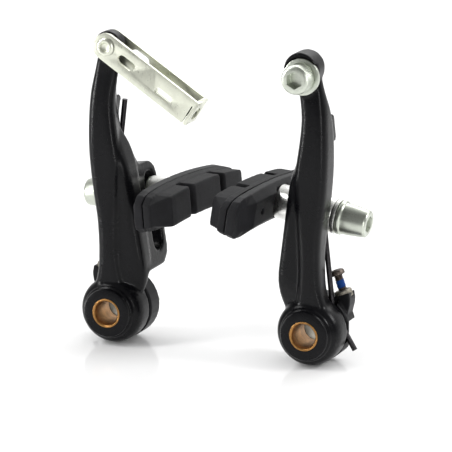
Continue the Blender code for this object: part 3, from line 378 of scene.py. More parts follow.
def measure(node, origin, axis):
    """Lowest and highest place of a solid along an axis, and its smallest and largest distance from it."""
    places = [place - origin for place in places_of(node)]
    along = [place.dot(axis) for place in places]
    out = [(place - axis * distance).length for place, distance in zip(places, along)]
    return min(along), max(along), min(out), max(out)


def on_axis(node, axis):
    """The lowest point on the axis of a turned solid, worked out from its extents to both sides."""
    places = places_of(node)
    result = axis * min(place.dot(axis) for place in places)
    first = Vector((1.0, 0.0, 0.0)) if abs(axis.dot(REARWARDS)) > 0.9 else REARWARDS
    for direction in (first, axis.cross(first)):
        spread = [place.dot(direction) for place in places]
        result += direction * (min(spread) + max(spread)) / 2
    return result


def copy_of(node):
    """A copy of a solid with its own mesh and a closed skin."""
    select_only(frame["nodes"][node])
    bpy.ops.object.duplicate(linked=False)
    piece = bpy.context.active_object
    close_skin(piece)
    return piece


def soften(piece, grid, softness):
    """Remake a skin on a fine grid and smooth it in that many rounds."""
    add_modifier(piece, "REMESH", mode="VOXEL", voxel_size=grid, use_smooth_shade=True)
    if softness:
        add_modifier(piece, "SMOOTH", factor=0.5, iterations=softness)


def point_at(piece, origin, axis):
    """Turn a piece made along +Z so that it lies along an axis, and bring it to its place."""
    piece.rotation_euler = axis.to_track_quat("Z", "Y").to_euler()
    piece.location = origin
    apply_place(piece)
    return piece


def profile(steps, radius, place):
    """Points of an outline, from steps in millimetres that start at a radius and a place."""
    return [(radius + out * MM, place + along * MM) for out, along in steps]


def turned(outline, origin, axis, steps=TURNED_STEPS, is_ring=True, edge=None):
    """Turn an outline of (radius, distance): a circle is extruded and resized from point to point.

    A ring's outline comes back to its first point. Otherwise both ends are closed.
    """
    (radius, place), *rest = outline
    foot = (0.0, 0.0, place)
    piece = added(bpy.ops.mesh.primitive_circle_add, vertices=steps, radius=radius, location=foot)
    apply_place(piece)
    bpy.ops.object.mode_set(mode="EDIT")
    bpy.ops.mesh.select_all(action="SELECT")
    for next_radius, next_place in rest + ([outline[0]] if is_ring else []):
        bpy.ops.mesh.extrude_edges_move(TRANSFORM_OT_translate={"value": (0.0, 0.0, next_place - place)})
        share = next_radius / radius
        bpy.ops.transform.resize(value=(share, share, 1.0), center_override=(0.0, 0.0, next_place))
        radius, place = next_radius, next_place
    bpy.ops.object.mode_set(mode="OBJECT")
    close_skin(piece, has_holes=not is_ring)
    point_at(piece, origin, axis)
    if edge is None:
        edge = settings().form.edge
    if edge:
        break_edges(piece, edge)
    return piece


def ring(node, origin, axis, steps=TURNED_STEPS, edge=None):
    """A plain ring with the sizes of a solid."""
    near, far, hole, rim = measure(node, origin, axis)
    return turned([(hole, near), (rim, near), (rim, far), (hole, far)], origin, axis, steps, edge=edge)


def break_edges(piece, width, segments=2, sharper_than=30.0):
    """Round a piece's sharp edges a little."""
    add_modifier(piece, "BEVEL", width=width, segments=segments, limit_method="ANGLE",
                 angle_limit=radians(sharper_than), harden_normals=False, use_clamp_overlap=True)


def drill(origin, axis, radius, start, end, sides=CUTTER_STEPS):
    """A round or many-sided cutter between two places on an axis."""
    tool = added(bpy.ops.mesh.primitive_cylinder_add, vertices=sides, radius=radius, depth=end - start)
    return point_at(tool, origin + axis * (start + end) / 2, axis)


def socket(origin, axis, start, end):
    """A cutter for a hexagon socket."""
    return drill(origin, axis, settings().form.hexagon / sqrt(3.0), start, end, 6)


def slot_cutter(origin, axis, along, radius, half_length, start, end):
    """A cutter for a slot: a cylinder whose halves are moved apart."""
    tool = added(
        bpy.ops.mesh.primitive_cylinder_add, vertices=CUTTER_STEPS, radius=radius, depth=end - start
    )
    for side in (-1, 1):
        move_points(tool, lambda place: place.x * side > 1e-7, (side * half_length, 0.0, 0.0))
    across = axis.cross(along)
    turn = Matrix((along, across, axis)).transposed().to_4x4()
    tool.matrix_world = Matrix.Translation(origin + axis * (start + end) / 2) @ turn
    apply_place(tool)
    return tool


def select_points(piece, is_chosen):
    """Enter edit mode with only those points selected whose place passes a test."""
    select_only(piece)
    bpy.ops.object.mode_set(mode="EDIT")
    bpy.ops.mesh.select_mode(type="VERT")
    bpy.ops.mesh.select_all(action="DESELECT")
    bpy.ops.object.mode_set(mode="OBJECT")
    for point in piece.data.vertices:
        point.select = is_chosen(point.co)
    bpy.ops.object.mode_set(mode="EDIT")


def move_points(piece, is_chosen, step):
    """Move the points of a piece whose place passes a test."""
    select_points(piece, is_chosen)
    bpy.ops.transform.translate(value=step)
    bpy.ops.object.mode_set(mode="OBJECT")


def box_between(low, high, matrix):
    """A box cutter between two corners in the frame that the matrix gives."""
    tool = added(bpy.ops.mesh.primitive_cube_add, size=1.0, location=(Vector(low) + Vector(high)) / 2)
    tool.scale = Vector(high) - Vector(low)
    apply_place(tool)
    tool.matrix_world = matrix
    apply_place(tool)
    return tool


def thread(radius, depth, pitch, origin, axis, start, end):
    """A screw thread: a saw-tooth of one pitch, wound up an axis by the Screw modifier, with closed ends."""
    turns = max(1, round((end - start) / pitch))
    piece = added(bpy.ops.mesh.primitive_plane_add, size=2 * MM)
    bpy.ops.object.mode_set(mode="EDIT")
    bpy.ops.mesh.merge(type="CENTER")
    bpy.ops.transform.translate(value=(radius - depth, 0.0, start))
    flank, land = pitch * 0.4, pitch * 0.1
    for step_out, step_up in ((depth, flank), (0.0, land), (-depth, flank), (0.0, land)):
        bpy.ops.mesh.extrude_vertices_move(TRANSFORM_OT_translate={"value": (step_out, 0.0, step_up)})
    bpy.ops.object.mode_set(mode="OBJECT")
    add_modifier(piece, "SCREW", screw_offset=pitch, iterations=turns, steps=THREAD_STEPS,
                 render_steps=THREAD_STEPS, use_merge_vertices=True, merge_threshold=1e-6)
    close_skin(piece, 1e-6, has_holes=True)
    return point_at(piece, origin, axis)


def coat_piece(piece, name, coat, sharp_angle):
    """Shade and name a finished piece and give it its finish."""
    shade(piece, sharp_angle)
    piece.name = name
    piece.data.name = name
    piece.data.materials.clear()
    piece.data.materials.append(finish(coat))


def deliver(piece, name, body, slot, *nodes, coat=None, sharp_angle=32.0):
    """Finish a piece, put it on its body and in place of the solids that it stands for."""
    coat_piece(piece, name, coat or slot, sharp_angle)
    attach(piece, body)
    if nodes:
        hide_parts(*nodes)


def new_material(name, base, roughness, metallic=0.0, **sockets):
    """A material with a Principled shader, its plain values set on the shader's own sockets."""
    material = bpy.data.materials.new(name)
    material.use_nodes = True
    shader = material.node_tree.nodes["Principled BSDF"]
    shader.inputs["Base Color"].default_value = (*base, 1.0)
    shader.inputs["Roughness"].default_value = roughness
    shader.inputs["Metallic"].default_value = metallic
    for key, value in sockets.items():
        shader.inputs[key.replace("_", " ")].default_value = value
    return material


def add_node(material, kind, **values):
    """Add a node and set its attributes."""
    node = material.node_tree.nodes.new(kind)
    for key, value in values.items():
        setattr(node, key, value)
    return node


def connect(material, source, target):
    material.node_tree.links.new(source, target)


def shader_of(material):
    return material.node_tree.nodes["Principled BSDF"]


def object_place(material, scale=(1.0, 1.0, 1.0), turn=(0.0, 0.0, 0.0)):
    """Object coordinates, turned and stretched by a Mapping node."""
    coordinates = add_node(material, "ShaderNodeTexCoord")
    stretch = add_node(material, "ShaderNodeMapping")
    stretch.inputs["Rotation"].default_value = turn
    stretch.inputs["Scale"].default_value = scale
    connect(material, coordinates.outputs["Object"], stretch.inputs["Vector"])
    return stretch.outputs["Vector"]


def grain(material, place, size, detail=3.0, roughness=0.55):
    """A noise whose features are about as large as the given size."""
    noise = add_node(material, "ShaderNodeTexNoise")
    noise.inputs["Scale"].default_value = 1.0 / size
    noise.inputs["Detail"].default_value = detail
    noise.inputs["Roughness"].default_value = roughness
    connect(material, place, noise.inputs["Vector"])
    return noise.outputs["Fac"]


def remap(material, value, low, high, new_low, new_high):
    """Stretch a value from one range to another."""
    node = add_node(material, "ShaderNodeMapRange", clamp=True)
    for key, number in (("From Min", low), ("From Max", high), ("To Min", new_low), ("To Max", new_high)):
        node.inputs[key].default_value = number
    connect(material, value, node.inputs["Value"])
    return node.outputs["Result"]


def mottle(material, base, noise, low, high, dark, light):
    """Let the base colour drift between a darker and a lighter tone of itself."""
    node = add_node(material, "ShaderNodeMix", data_type="RGBA")
    for socket_number, share in ((6, dark), (7, light)):
        node.inputs[socket_number].default_value = (*(min(1.0, channel * share) for channel in base), 1.0)
    connect(material, remap(material, noise, low, high, 0.0, 1.0), node.inputs[0])
    connect(material, node.outputs[2], shader_of(material).inputs["Base Color"])


def vary_gloss(material, noise, low, high, least, most):
    """Let the roughness drift between two values."""
    gloss = remap(material, noise, low, high, least, most)
    connect(material, gloss, shader_of(material).inputs["Roughness"])


def bump(material, height, depth, before=None):
    """Relief of a surface, with its depth in metres, over the relief made before it."""
    node = add_node(material, "ShaderNodeBump")
    node.inputs["Distance"].default_value = depth
    connect(material, height, node.inputs["Height"])
    if before is not None:
        connect(material, before, node.inputs["Normal"])
    connect(material, node.outputs["Normal"], shader_of(material).inputs["Normal"])
    return node.outputs["Normal"]


def paint_finish():
    """Satin black paint on a forging: soft orange peel, a faint dusting and uneven gloss."""
    look = settings().finish
    gloss = look.paint_roughness
    material = new_material("arm_paint", look.paint, gloss, Specular_IOR_Level=0.17)
    place = object_place(material)
    vary_gloss(material, grain(material, place, 9 * MM, 2.0), 0.3, 0.7, gloss - 0.05, gloss + 0.06)
    speck = grain(material, place, 0.35 * MM, 2.0)
    mottle(material, look.paint, speck, 0.45, 0.75, 1.0, 1.8)
    peel = bump(material, grain(material, place, 1.3 * MM, 2.0), 0.035 * MM)
    bump(material, speck, 0.006 * MM, before=peel)
    return material


def bronze_finish():
    """Sintered bronze with fine pores and darker oil stains."""
    look = settings().finish
    material = new_material("bush_bronze", look.bronze, 0.34, 1.0)
    place = object_place(material)
    mottle(material, look.bronze, grain(material, place, 1.6 * MM, 3.0), 0.35, 0.7, 0.75, 1.2)
    pores = grain(material, place, 0.16 * MM, 2.0)
    vary_gloss(material, pores, 0.3, 0.7, 0.26, 0.46)
    bump(material, pores, 0.012 * MM)
    return material


def plated_finish(name, base, roughness, streak=(1.0, 1.0, 1.0), turn=(0.0, 0.0, 0.0)):
    """Plated steel: a faint tint that drifts over the surface, and fine streaks of uneven gloss."""
    material = new_material(name, base, roughness, 1.0)
    mottle(material, base, grain(material, object_place(material), 4.5 * MM, 2.0), 0.3, 0.7, 0.9, 1.06)
    lines = grain(material, object_place(material, streak, turn), 0.22 * MM, 3.0, 0.6)
    vary_gloss(material, lines, 0.25, 0.75, roughness - 0.08, roughness + 0.12)
    bump(material, lines, 0.006 * MM)
    return material


def rubber_finish(name, base, roughness):
    """Moulded rubber: matt skin with a fine grain and paler scuffed patches."""
    material = new_material(name, base, roughness, Specular_IOR_Level=0.16)
    place = object_place(material)
    mottle(material, base, grain(material, place, 6 * MM, 4.0), 0.35, 0.75, 0.85, 1.45)
    skin = grain(material, place, 0.28 * MM, 3.0, 0.6)
    vary_gloss(material, skin, 0.3, 0.7, roughness - 0.08, roughness + 0.1)
    bump(material, skin, 0.022 * MM)
    return material


def wire_finish(name, base, roughness):
    """Dark drawn wire with a thin oil film."""
    material = new_material(name, base, roughness, 0.85)
    drawn = grain(material, object_place(material), 0.5 * MM, 3.0)
    mottle(material, base, drawn, 0.35, 0.7, 0.7, 1.6)
    vary_gloss(material, drawn, 0.3, 0.7, roughness - 0.08, roughness + 0.12)
    bump(material, drawn, 0.01 * MM)
    return material


def floor_finish():
    """Pale floor with a soft sheen."""
    material = new_material("floor", settings().stage.floor, 0.10, Specular_IOR_Level=0.25)
    vary_gloss(material, grain(material, object_place(material), 120 * MM, 2.0), 0.3, 0.7, 0.07, 0.13)
    return material


FINISHES = {}


def finish(slot):
    """The material of one of the record's slots, of the dulled steel that also carries painted shade in the bores,
    or of a painted spot, made on first use.
    """
    look = settings().finish
    rolled, link_lies = (1.0, 1.0, 0.12), (0.0, radians(31), 0.0)
    makers = {
        "black_paint": (paint_finish,),
        "bronze": (bronze_finish,),
        "zinc_steel": (plated_finish, "zinc_plate", look.zinc, 0.30),
        "bright_washer": (plated_finish, "bright_metal", look.bright, 0.28),
        "link_steel": (plated_finish, "link_sheet", look.link, 0.32, rolled, link_lies),
        # Dull steel: its darker base is painted shade on the collars, which sit deep in the bores
        "dull_steel": (plated_finish, "dull_steel", look.dull_steel, 0.5),
        "pad_rubber": (rubber_finish, "pad_rubber", look.rubber, 0.62),
        "backing_plastic": (rubber_finish, "shoe_backing", look.backing, 0.52),
        "seat_plastic": (rubber_finish, "seat_plastic", look.plastic, 0.40),
        "spring_wire": (wire_finish, "spring_wire", look.wire, 0.34),
        "screw_steel": (wire_finish, "screw_steel", look.screw, 0.38),
        "thread_lock": (rubber_finish, "thread_lock", look.thread_lock, 0.45),
    }
    if slot not in FINISHES:
        make, *values = makers[slot]
        FINISHES[slot] = make(*values)
    return FINISHES[slot]


class Undoable:
    """What all buttons share."""

    bl_options = {"REGISTER", "UNDO"}


class BRAKE_OT_arms(Undoable, bpy.types.Operator):
    """Dress both arms: a soft forged skin, with the barrel's face and the bore cut crisp"""

    bl_idname = "brake.arms"
    bl_label = "Arms"

    def execute(self, context):
        for word in SIDES:
            self.dress(word)
        return {"FINISHED"}

    def dress(self, word):
        """The bore is plugged before the skin is remade, and drilled again at the end."""
        form = settings().form
        pivot = PIVOT[word]
        front, back, bore, barrel = self.barrel_sizes(word)
        arm = copy_of(word + "_arm")
        plug = drill(pivot, REARWARDS, bore + PLUG_LAP, front + PLUG_INSET, back - PLUG_INSET)
        boolean(arm, plug, "UNION")
        soften(arm, form.forging_grid, form.forging_softness)
        cut_front, cut_back = front - 3 * OVERRUN, front + BARREL_CUT
        boolean(arm, drill(pivot, REARWARDS, barrel + 2 * OVERRUN, cut_front, cut_back))
        boolean(arm, self.barrel_front(pivot, front, barrel), "UNION")
        boolean(arm, drill(pivot, REARWARDS, bore, front - OVERRUN, back + OVERRUN))
        deliver(arm, word + "_forged_arm", word + "_brake_arm", "black_paint", word + "_arm")

    def barrel_sizes(self, word):
        """Front and back of the barrel, and the radii of its bore and of its outside."""
        front, back, _, bore = measure(word + "_pivot_bush", PIVOT[word], REARWARDS)
        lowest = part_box("left_arm")[0][2]
        return front + BUSH_PROUD, back, bore + PRESS_FIT, PIVOT[word].z - lowest

    def barrel_front(self, pivot, front, barrel):
        """The flat face, its rounded rim, the groove behind it and the foot of the dome."""
        rim = profile(BARREL_RIM, barrel * BARREL_FACE_SHARE, front)
        outline = [(BARREL_CORE, front), *rim, (BARREL_CORE, rim[-1][1])]
        return turned(outline, pivot, REARWARDS, BARREL_STEPS, edge=0.0)


class BRAKE_OT_shoes(Undoable, bpy.types.Operator):
    """Dress the shoes: moulded backings and rubber blocks with soft edges"""

    bl_idname = "brake.shoes"
    bl_label = "Shoes"

    def execute(self, context):
        form = settings().form
        for word in SIDES:
            for node, slot in (("_shoe_backing", "backing_plastic"), ("_friction_pad", "pad_rubber")):
                piece = copy_of(word + node)
                soften(piece, form.moulding_grid, form.moulding_softness)
                deliver(piece, word + "_moulded" + node, word + "_shoe", slot, word + node)
        return {"FINISHED"}


class BRAKE_OT_seats(Undoable, bpy.types.Operator):
    """Dress the spring seats and their lugs as moulded plastic"""

    bl_idname = "brake.seats"
    bl_label = "Spring seats"

    def execute(self, context):
        for word in SIDES:
            piece = copy_of(word + "_spring_seat")
            soften(piece, settings().form.moulding_grid * SEAT_GRID_SHARE, SEAT_SOFTNESS)
            screw, axis = word + "_tension_screw", SCREW_AXIS[word]
            origin = on_axis(screw, axis)
            _, end, _, head = measure(screw, origin, axis)
            hole = head * SCREW_SHANK_SHARE + SCREW_PLAY
            boolean(piece, drill(origin, axis, hole, 0.0, end + SCREW_ROOM))
            deliver(piece, word + "_moulded_seat", "root", "seat_plastic", word + "_spring_seat")
        return {"FINISHED"}


class BRAKE_OT_shoe_hardware(Undoable, bpy.types.Operator):
    """Turn the nuts, washers and threaded studs of the shoes"""

    bl_idname = "brake.shoe_hardware"
    bl_label = "Shoe hardware"

    def execute(self, context):
        for word in SIDES:
            for make in (self.nut, self.flat_washer, self.stud):
                make(word, SHOE_CENTRE[word], POST_AXIS[word])
        return {"FINISHED"}

    def nut(self, word, centre, axis):
        """The cap nut: a flange, a tapered body and a tip with a hexagon socket."""
        base, end, hole, flange = measure(word + "_post_nut", centre, axis)
        nut = turned([
            (hole, base), *profile(NUT_FLANGE, flange, base),
            *profile(NUT_BODY, flange * NUT_BODY_SHARE, base),
            *profile(NUT_TIP, flange * NUT_TIP_SHARE, end), (hole, end),
        ], centre, axis, edge=0.0)
        boolean(nut, socket(centre, axis, end - settings().form.socket_depth, end + OVERRUN))
        break_edges(nut, NUT_EDGE, sharper_than=40.0)
        deliver(nut, word + "_cap_nut", word + "_shoe", "zinc_steel", word + "_post_nut", sharp_angle=40.0)

    def flat_washer(self, word, centre, axis):
        washer = ring(word + "_post_washer", centre, axis)
        deliver(washer, word + "_flat_washer", word + "_shoe", "bright_washer", word + "_post_washer")

    def stud(self, word, centre, axis):
        """The stud: a head, a plain shank and a rolled thread on the outer half."""
        head, end, _, head_radius = measure(word + "_shoe_stud", centre, axis)
        radius = measure(word + "_post_nut", centre, axis)[2] - STUD_PLAY
        neck, core = head + STUD_HEAD, radius - STUD_THREAD
        stud = turned([
            (head_radius, head), (head_radius, neck), (radius, neck), (radius, 0.0), (core, STUD_STEP),
            (core, end),
        ], centre, axis, is_ring=False)
        pitch = settings().form.thread_pitch
        rolled = thread(radius, STUD_THREAD, pitch, centre, axis, STUD_THREAD_START, end - THREAD_RELIEF)
        boolean(stud, rolled, "UNION")
        deliver(stud, word + "_threaded_stud", word + "_shoe", "zinc_steel", word + "_shoe_stud")


class BRAKE_OT_ball_joints(Undoable, bpy.types.Operator):
    """Turn the domed and hollow washers that let the shoes tilt"""

    bl_idname = "brake.ball_joints"
    bl_label = "Ball joints"

    def execute(self, context):
        for word in SIDES:
            for place, side in (("inner", -1), ("outer", 1)):
                self.ball(word, word + "_" + place, POST_AXIS[word] * side)
                self.cup(word, word + "_" + place, POST_AXIS[word] * side)
        return {"FINISHED"}

    def arc(self, radius, start, end, steps=10):
        """Points of an arc round the shoe's centre, between two distances from the axis."""
        first, last = asin(start / radius), asin(end / radius)
        turns = [first + (last - first) * i / steps for i in range(steps + 1)]
        return [(radius * sin(turn), radius * cos(turn)) for turn in turns]

    def ball(self, word, place, axis):
        """A ball washer. It stays square to the plate, whatever the tilt of the shoe."""
        node = place + "_ball_washer"
        straight = SLOT_AXIS[word].cross(REARWARDS)
        straight = straight if straight.dot(axis) > 0 else -straight
        low, _, hole, rim = measure(node, SHOE_CENTRE[word], straight)
        radius, lip = settings().form.ball, low + BALL_LIP
        dome = self.arc(radius, hole, min(sqrt(radius ** 2 - lip ** 2), rim - BALL_RIM))
        washer = turned([(hole, low), *dome, (rim, lip), (rim, low)], SHOE_CENTRE[word], straight, edge=0.0)
        deliver(washer, place + "_dome", word + "_ball_washers", "zinc_steel", node)

    def cup(self, word, place, axis):
        """A cup washer, square to the shoe's stud."""
        node = place + "_cup_washer"
        _, high, hole, rim = measure(node, SHOE_CENTRE[word], axis)
        form = settings().form
        hollow = self.arc(form.ball + form.ball_play, hole, rim - CUP_WALL)
        outline = [*reversed(hollow), (hole, high), *profile(CUP_RIM, rim, high), (rim, hollow[-1][1])]
        washer = turned(outline, SHOE_CENTRE[word], axis, edge=0.0)
        deliver(washer, place + "_hollow", word + "_cup_washers", "bright_washer", node)


class BRAKE_OT_pivots(Undoable, bpy.types.Operator):
    """Turn the bronze bushes, the steel collars and the seats' pins"""

    bl_idname = "brake.pivots"
    bl_label = "Pivots"

    def execute(self, context):
        for word in SIDES:
            for make in (self.bush, self.collar, self.pin):
                make(word)
        return {"FINISHED"}

    def bush(self, word):
        node = word + "_pivot_bush"
        low, high, bore, outer = measure(node, PIVOT[word], REARWARDS)
        sleeve = turned([
            *profile(BORE_CHAMFER, bore, low), *profile(SLEEVE_CORNER, outer, low),
            (outer, high), (bore, high),
        ], PIVOT[word], REARWARDS, SLEEVE_STEPS, edge=SLEEVE_EDGE)
        deliver(sleeve, word + "_bronze_sleeve", word + "_brake_arm", "bronze", node)

    def collar(self, word):
        node = word + "_pivot_collar"
        collar = ring(node, PIVOT[word], REARWARDS, SLEEVE_STEPS, COLLAR_EDGE)
        # The collar's darker dull steel is painted shade of the bore it sits in
        deliver(collar, word + "_steel_collar", "root", "zinc_steel", node, coat="dull_steel")

    def pin(self, word):
        node = word + "_seat_pin"
        origin = on_axis(node, REARWARDS)
        _, high, _, radius = measure(node, origin, REARWARDS)
        outline = [(radius, 0.0), *profile(PIN_TIP, radius, high)]
        pin = turned(outline, origin, REARWARDS, PIN_STEPS, is_ring=False)
        deliver(pin, word + "_locating_pin", "root", "zinc_steel", node)


class BRAKE_OT_springs(Undoable, bpy.types.Operator):
    """Wind the return springs: long leg, coil and short leg in one wire"""

    bl_idname = "brake.springs"
    bl_label = "Springs"

    def execute(self, context):
        for word, side in SIDES.items():
            self.wind(word, side)
        return {"FINISHED"}

    def wind(self, word, side):
        """Lay the wire on its centre line. The long leg rises along the arm, and the coil lies on its seat."""
        node = word + "_return_spring"
        curve = bpy.data.curves.new(word + "_wound_spring", "CURVE")
        curve.dimensions = "3D"
        curve.bevel_depth = settings().form.wire / 2
        curve.bevel_resolution = 5
        curve.use_fill_caps = True
        points = self.centreline(node, PIVOT[word], side)
        line = curve.splines.new("POLY")
        line.points.add(len(points) - 1)
        for place, point in zip(line.points, points):
            place.co = (*point, 1.0)
        spring = bpy.data.objects.new(curve.name, curve)
        bpy.context.scene.collection.objects.link(spring)
        select_only(spring)
        bpy.ops.object.convert(target="MESH")
        spring = bpy.context.active_object
        close_skin(spring)
        coat_piece(spring, word + "_wound_spring", "spring_wire", 50.0)
        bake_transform(spring)
        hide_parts(node)

    def centreline(self, node, pivot, side):
        """Points from the long leg's top, down and round the coil, to the short leg's end."""
        form = settings().form
        front, back, _, _ = measure(node, pivot, REARWARDS)
        long_y, short_y = front + form.wire / 2, back - form.wire / 2
        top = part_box(node)[1][2] - pivot.z - form.wire * LEG_DROP_SHARE
        lean, turn = form.long_leg_lean, form.short_leg_turn
        foot = Vector((form.coil * cos(lean), long_y, form.coil * sin(lean)))
        up = Vector((-sin(lean), 0.0, cos(lean)))
        rise = (top - foot.z) / cos(lean)
        points = [foot + up * rise * step / LEG_STEPS for step in range(LEG_STEPS, 0, -1)]
        whole = 2 * pi * COIL_TURNS + lean - turn
        for step in range(COIL_STEPS + 1):
            wound = lean - whole * step / COIL_STEPS
            place_y = long_y + (short_y - long_y) * step / COIL_STEPS
            points.append(Vector((form.coil * cos(wound), place_y, form.coil * sin(wound))))
        points.append(points[-1] + Vector((sin(turn), 0.0, -cos(turn))) * form.short_leg)
        return [pivot + Vector((side * point.x, point.y, point.z)) for point in points]


class BRAKE_OT_tension_screws(Undoable, bpy.types.Operator):
    """Make the tension screws: cross-recess head, rolled thread with a blue patch, and nut insert"""

    bl_idname = "brake.tension_screws"
    bl_label = "Tension screws"

    def execute(self, context):
        for word in SIDES:
            self.insert(word, SCREW_AXIS[word])
            self.screw(word, SCREW_AXIS[word])
        return {"FINISHED"}

    def insert(self, word, axis):
        node = word + "_screw_insert"
        origin = on_axis(node, axis)
        _, high, hole, rim = measure(node, origin, axis)
        nut = turned([
            (hole, 0.0), (hole + INSERT_FACE, 0.0), *profile(INSERT_CORNER, rim, 0.0),
            (rim, high), (hole, high),
        ], origin, axis, SMALL_STEPS)
        # The insert's dull steel is its own dark tone; the same finish carries painted shade on the collars
        deliver(nut, word + "_nut_insert", "root", "zinc_steel", node, coat="dull_steel")

    def screw(self, word, axis):
        """The screw with its recess and thread, and the patch of thread lock on it."""
        pitch = settings().form.screw_pitch
        node, body = word + "_tension_screw", word + "_screw"
        origin = on_axis(node, axis)
        _, end, _, head = measure(node, origin, axis)
        shank = head * SCREW_SHANK_SHARE
        core = shank - SCREW_THREAD
        face = head * SCREW_FACE_SHARE
        outline = [(face, 0.0), *profile(SCREW_HEAD, head, 0.0), (core, SCREW_NECK), (core, end)]
        screw = turned(outline, origin, axis, SMALL_STEPS, is_ring=False, edge=0.0)
        rolled = thread(shank, SCREW_THREAD, pitch, origin, axis, SCREW_NECK, end - 2 * THREAD_RELIEF)
        boolean(screw, rolled, "UNION")
        across = axis.cross(REARWARDS)
        for turn in RECESS_TURNS:
            along = Matrix.Rotation(radians(turn), 3, axis) @ across
            boolean(screw, slot_cutter(origin, axis, along, *RECESS_SIZES, -OVERRUN, RECESS_DEPTH))
        deliver(screw, word + "_cross_screw", body, "screw_steel", node, sharp_angle=35.0)
        low, high = SCREW_NECK + PATCH_START, SCREW_NECK + PATCH_END
        patch = thread(shank + PATCH_PROUD, PATCH_DEPTH, pitch, origin, axis, low, high)
        deliver(patch, word + "_thread_lock", body, "screw_steel", coat="thread_lock", sharp_angle=35.0)


class BRAKE_OT_link(Undoable, bpy.types.Operator):
    """Fold the cable link from sheet, with its slots, pipe hole and slit, and make its rivet"""

    bl_idname = "brake.link"
    bl_label = "Cable link"

    def execute(self, context):
        self.bracket()
        self.rivet()
        return {"FINISHED"}

    def bracket(self):
        """A solid form of the link is cut square at its end, hollowed to two sheets, slotted and slit."""
        sheet = settings().form.sheet
        back, end, _, _ = measure("cable_link", LINK_PIVOT, LINK_DIRECTION)
        near, far, _, _ = measure("cable_link", LINK_PIVOT, REARWARDS)
        half, wide, inner_end = -back, -back * 2, end - sheet
        before, middle, behind = near - OVERRUN, (near + far) / 2, far + OVERRUN
        up = LINK_DIRECTION.cross(REARWARDS)
        up = up if up.z > 0 else -up
        lie = Matrix((LINK_DIRECTION, REARWARDS, up)).transposed().to_4x4()
        place = Matrix.Translation(LINK_PIVOT) @ lie
        centre = LINK_PIVOT + LINK_DIRECTION * end / 2
        link = slot_cutter(centre, REARWARDS, LINK_DIRECTION, half, end / 2, near, far)
        boolean(link, box_between((end, before, -wide), (end + wide, behind, wide), place))
        boolean(link, box_between((-wide, near + sheet, -wide), (inner_end, far - sheet, wide), place))
        self.cut_slots(link, LINK_FRONT_SLOTS, up, before, middle)
        self.cut_slots(link, LINK_BACK_SLOTS, up, middle, behind)
        boolean(link, drill(LINK_PIVOT, REARWARDS, RIVET_HOLE, before, behind))
        pipe = LINK_PIVOT + REARWARDS * middle - up * PIPE_HOLE_DROP
        boolean(link, drill(pipe, LINK_DIRECTION, PIPE_HOLE, inner_end - OVERRUN, end + OVERRUN))
        slit_end = (inner_end, near + sheet + SLIT_LAP, half - LINK_FOLD)
        boolean(link, box_between((inner_end - LINK_SLIT, before, -wide), slit_end, place))
        break_edges(link, LINK_EDGE, 3, 35.0)
        deliver(link, "folded_link", "link", "link_steel", "cable_link", sharp_angle=35.0)

    def cut_slots(self, link, slots, up, start, end):
        """Cut the slots of one of the two sheets."""
        for distance, rise, radius, half_length in slots:
            origin = LINK_PIVOT + LINK_DIRECTION * distance + up * rise
            boolean(link, slot_cutter(origin, REARWARDS, LINK_DIRECTION, radius, half_length, start, end))

    def rivet(self):
        """The rivet: a rolled head with its hollow in front, a shank and a flat head behind."""
        near, far, _, head = measure("link_rivet", LINK_PIVOT, REARWARDS)
        inner_near, inner_far, _, _ = measure("cable_link", LINK_PIVOT, REARWARDS)
        under, over = inner_near - RIVET_PLAY, inner_far + RIVET_PLAY
        rivet = turned([
            *profile(RIVET_HOLLOW, 0.0, near), *profile(RIVET_RIM, head, near), (head, under),
            (RIVET_SHANK, under), (RIVET_SHANK, over), (head, over), *profile(RIVET_BACK, head, far),
        ], LINK_PIVOT, REARWARDS, RIVET_STEPS, is_ring=False, edge=0.0)
        deliver(rivet, "headed_rivet", "left_brake_arm", "link_steel", "link_rivet")


class BRAKE_OT_cable_anchor(Undoable, bpy.types.Operator):
    """Make the cable anchor: knurled socket-head bolt and its washer"""

    bl_idname = "brake.cable_anchor"
    bl_label = "Cable anchor"

    def execute(self, context):
        origin = on_axis("anchor_bolt", REARWARDS)
        self.bolt(origin)
        washer = ring("anchor_washer", origin, REARWARDS, edge=WASHER_EDGE)
        deliver(washer, "round_washer", "right_brake_arm", "zinc_steel", "anchor_washer")
        return {"FINISHED"}

    def bolt(self, origin):
        form = settings().form
        _, end, _, head = measure("anchor_bolt", origin, REARWARDS)
        core = BOLT_SHANK - BOLT_THREAD
        outline = [*profile(BOLT_HEAD, head, 0.0), (core, BOLT_SEAT), (core, end)]
        bolt = turned(outline, origin, REARWARDS, 2 * KNURL_GROOVES, is_ring=False, edge=0.0)
        self.knurl(bolt, origin, head)
        tip = end - THREAD_RELIEF
        rolled = thread(BOLT_SHANK, BOLT_THREAD, form.thread_pitch, origin, REARWARDS, BOLT_SEAT, tip)
        boolean(bolt, rolled, "UNION")
        boolean(bolt, socket(origin, REARWARDS, -OVERRUN, form.socket_depth))
        deliver(bolt, "socket_bolt", "right_brake_arm", "zinc_steel", "anchor_bolt", sharp_angle=30.0)

    def knurl(self, bolt, origin, head):
        """Press every second line of the head's side inwards."""
        def is_groove(place):
            out = place - origin
            line = round(atan2(out.z, out.x) * KNURL_GROOVES / pi)
            is_side = abs(sqrt(out.x ** 2 + out.z ** 2) - head) < 0.02 * MM
            return is_side and line % 2 == 0
        select_points(bolt, is_groove)
        bpy.ops.transform.resize(value=(KNURL_SHARE, 1.0, KNURL_SHARE), center_override=origin)
        bpy.ops.object.mode_set(mode="OBJECT")


class BRAKE_OT_finishes(Undoable, bpy.types.Operator):
    """Give every solid of the frame the finish of its slot"""

    bl_idname = "brake.finishes"
    bl_label = "Finishes"

    def execute(self, context):
        for part in frame["record"]["subparts"]:
            node = frame["nodes"][part["node"]]
            node.data.materials.clear()
            node.data.materials.append(finish(part["material_slot"]))
        return {"FINISHED"}


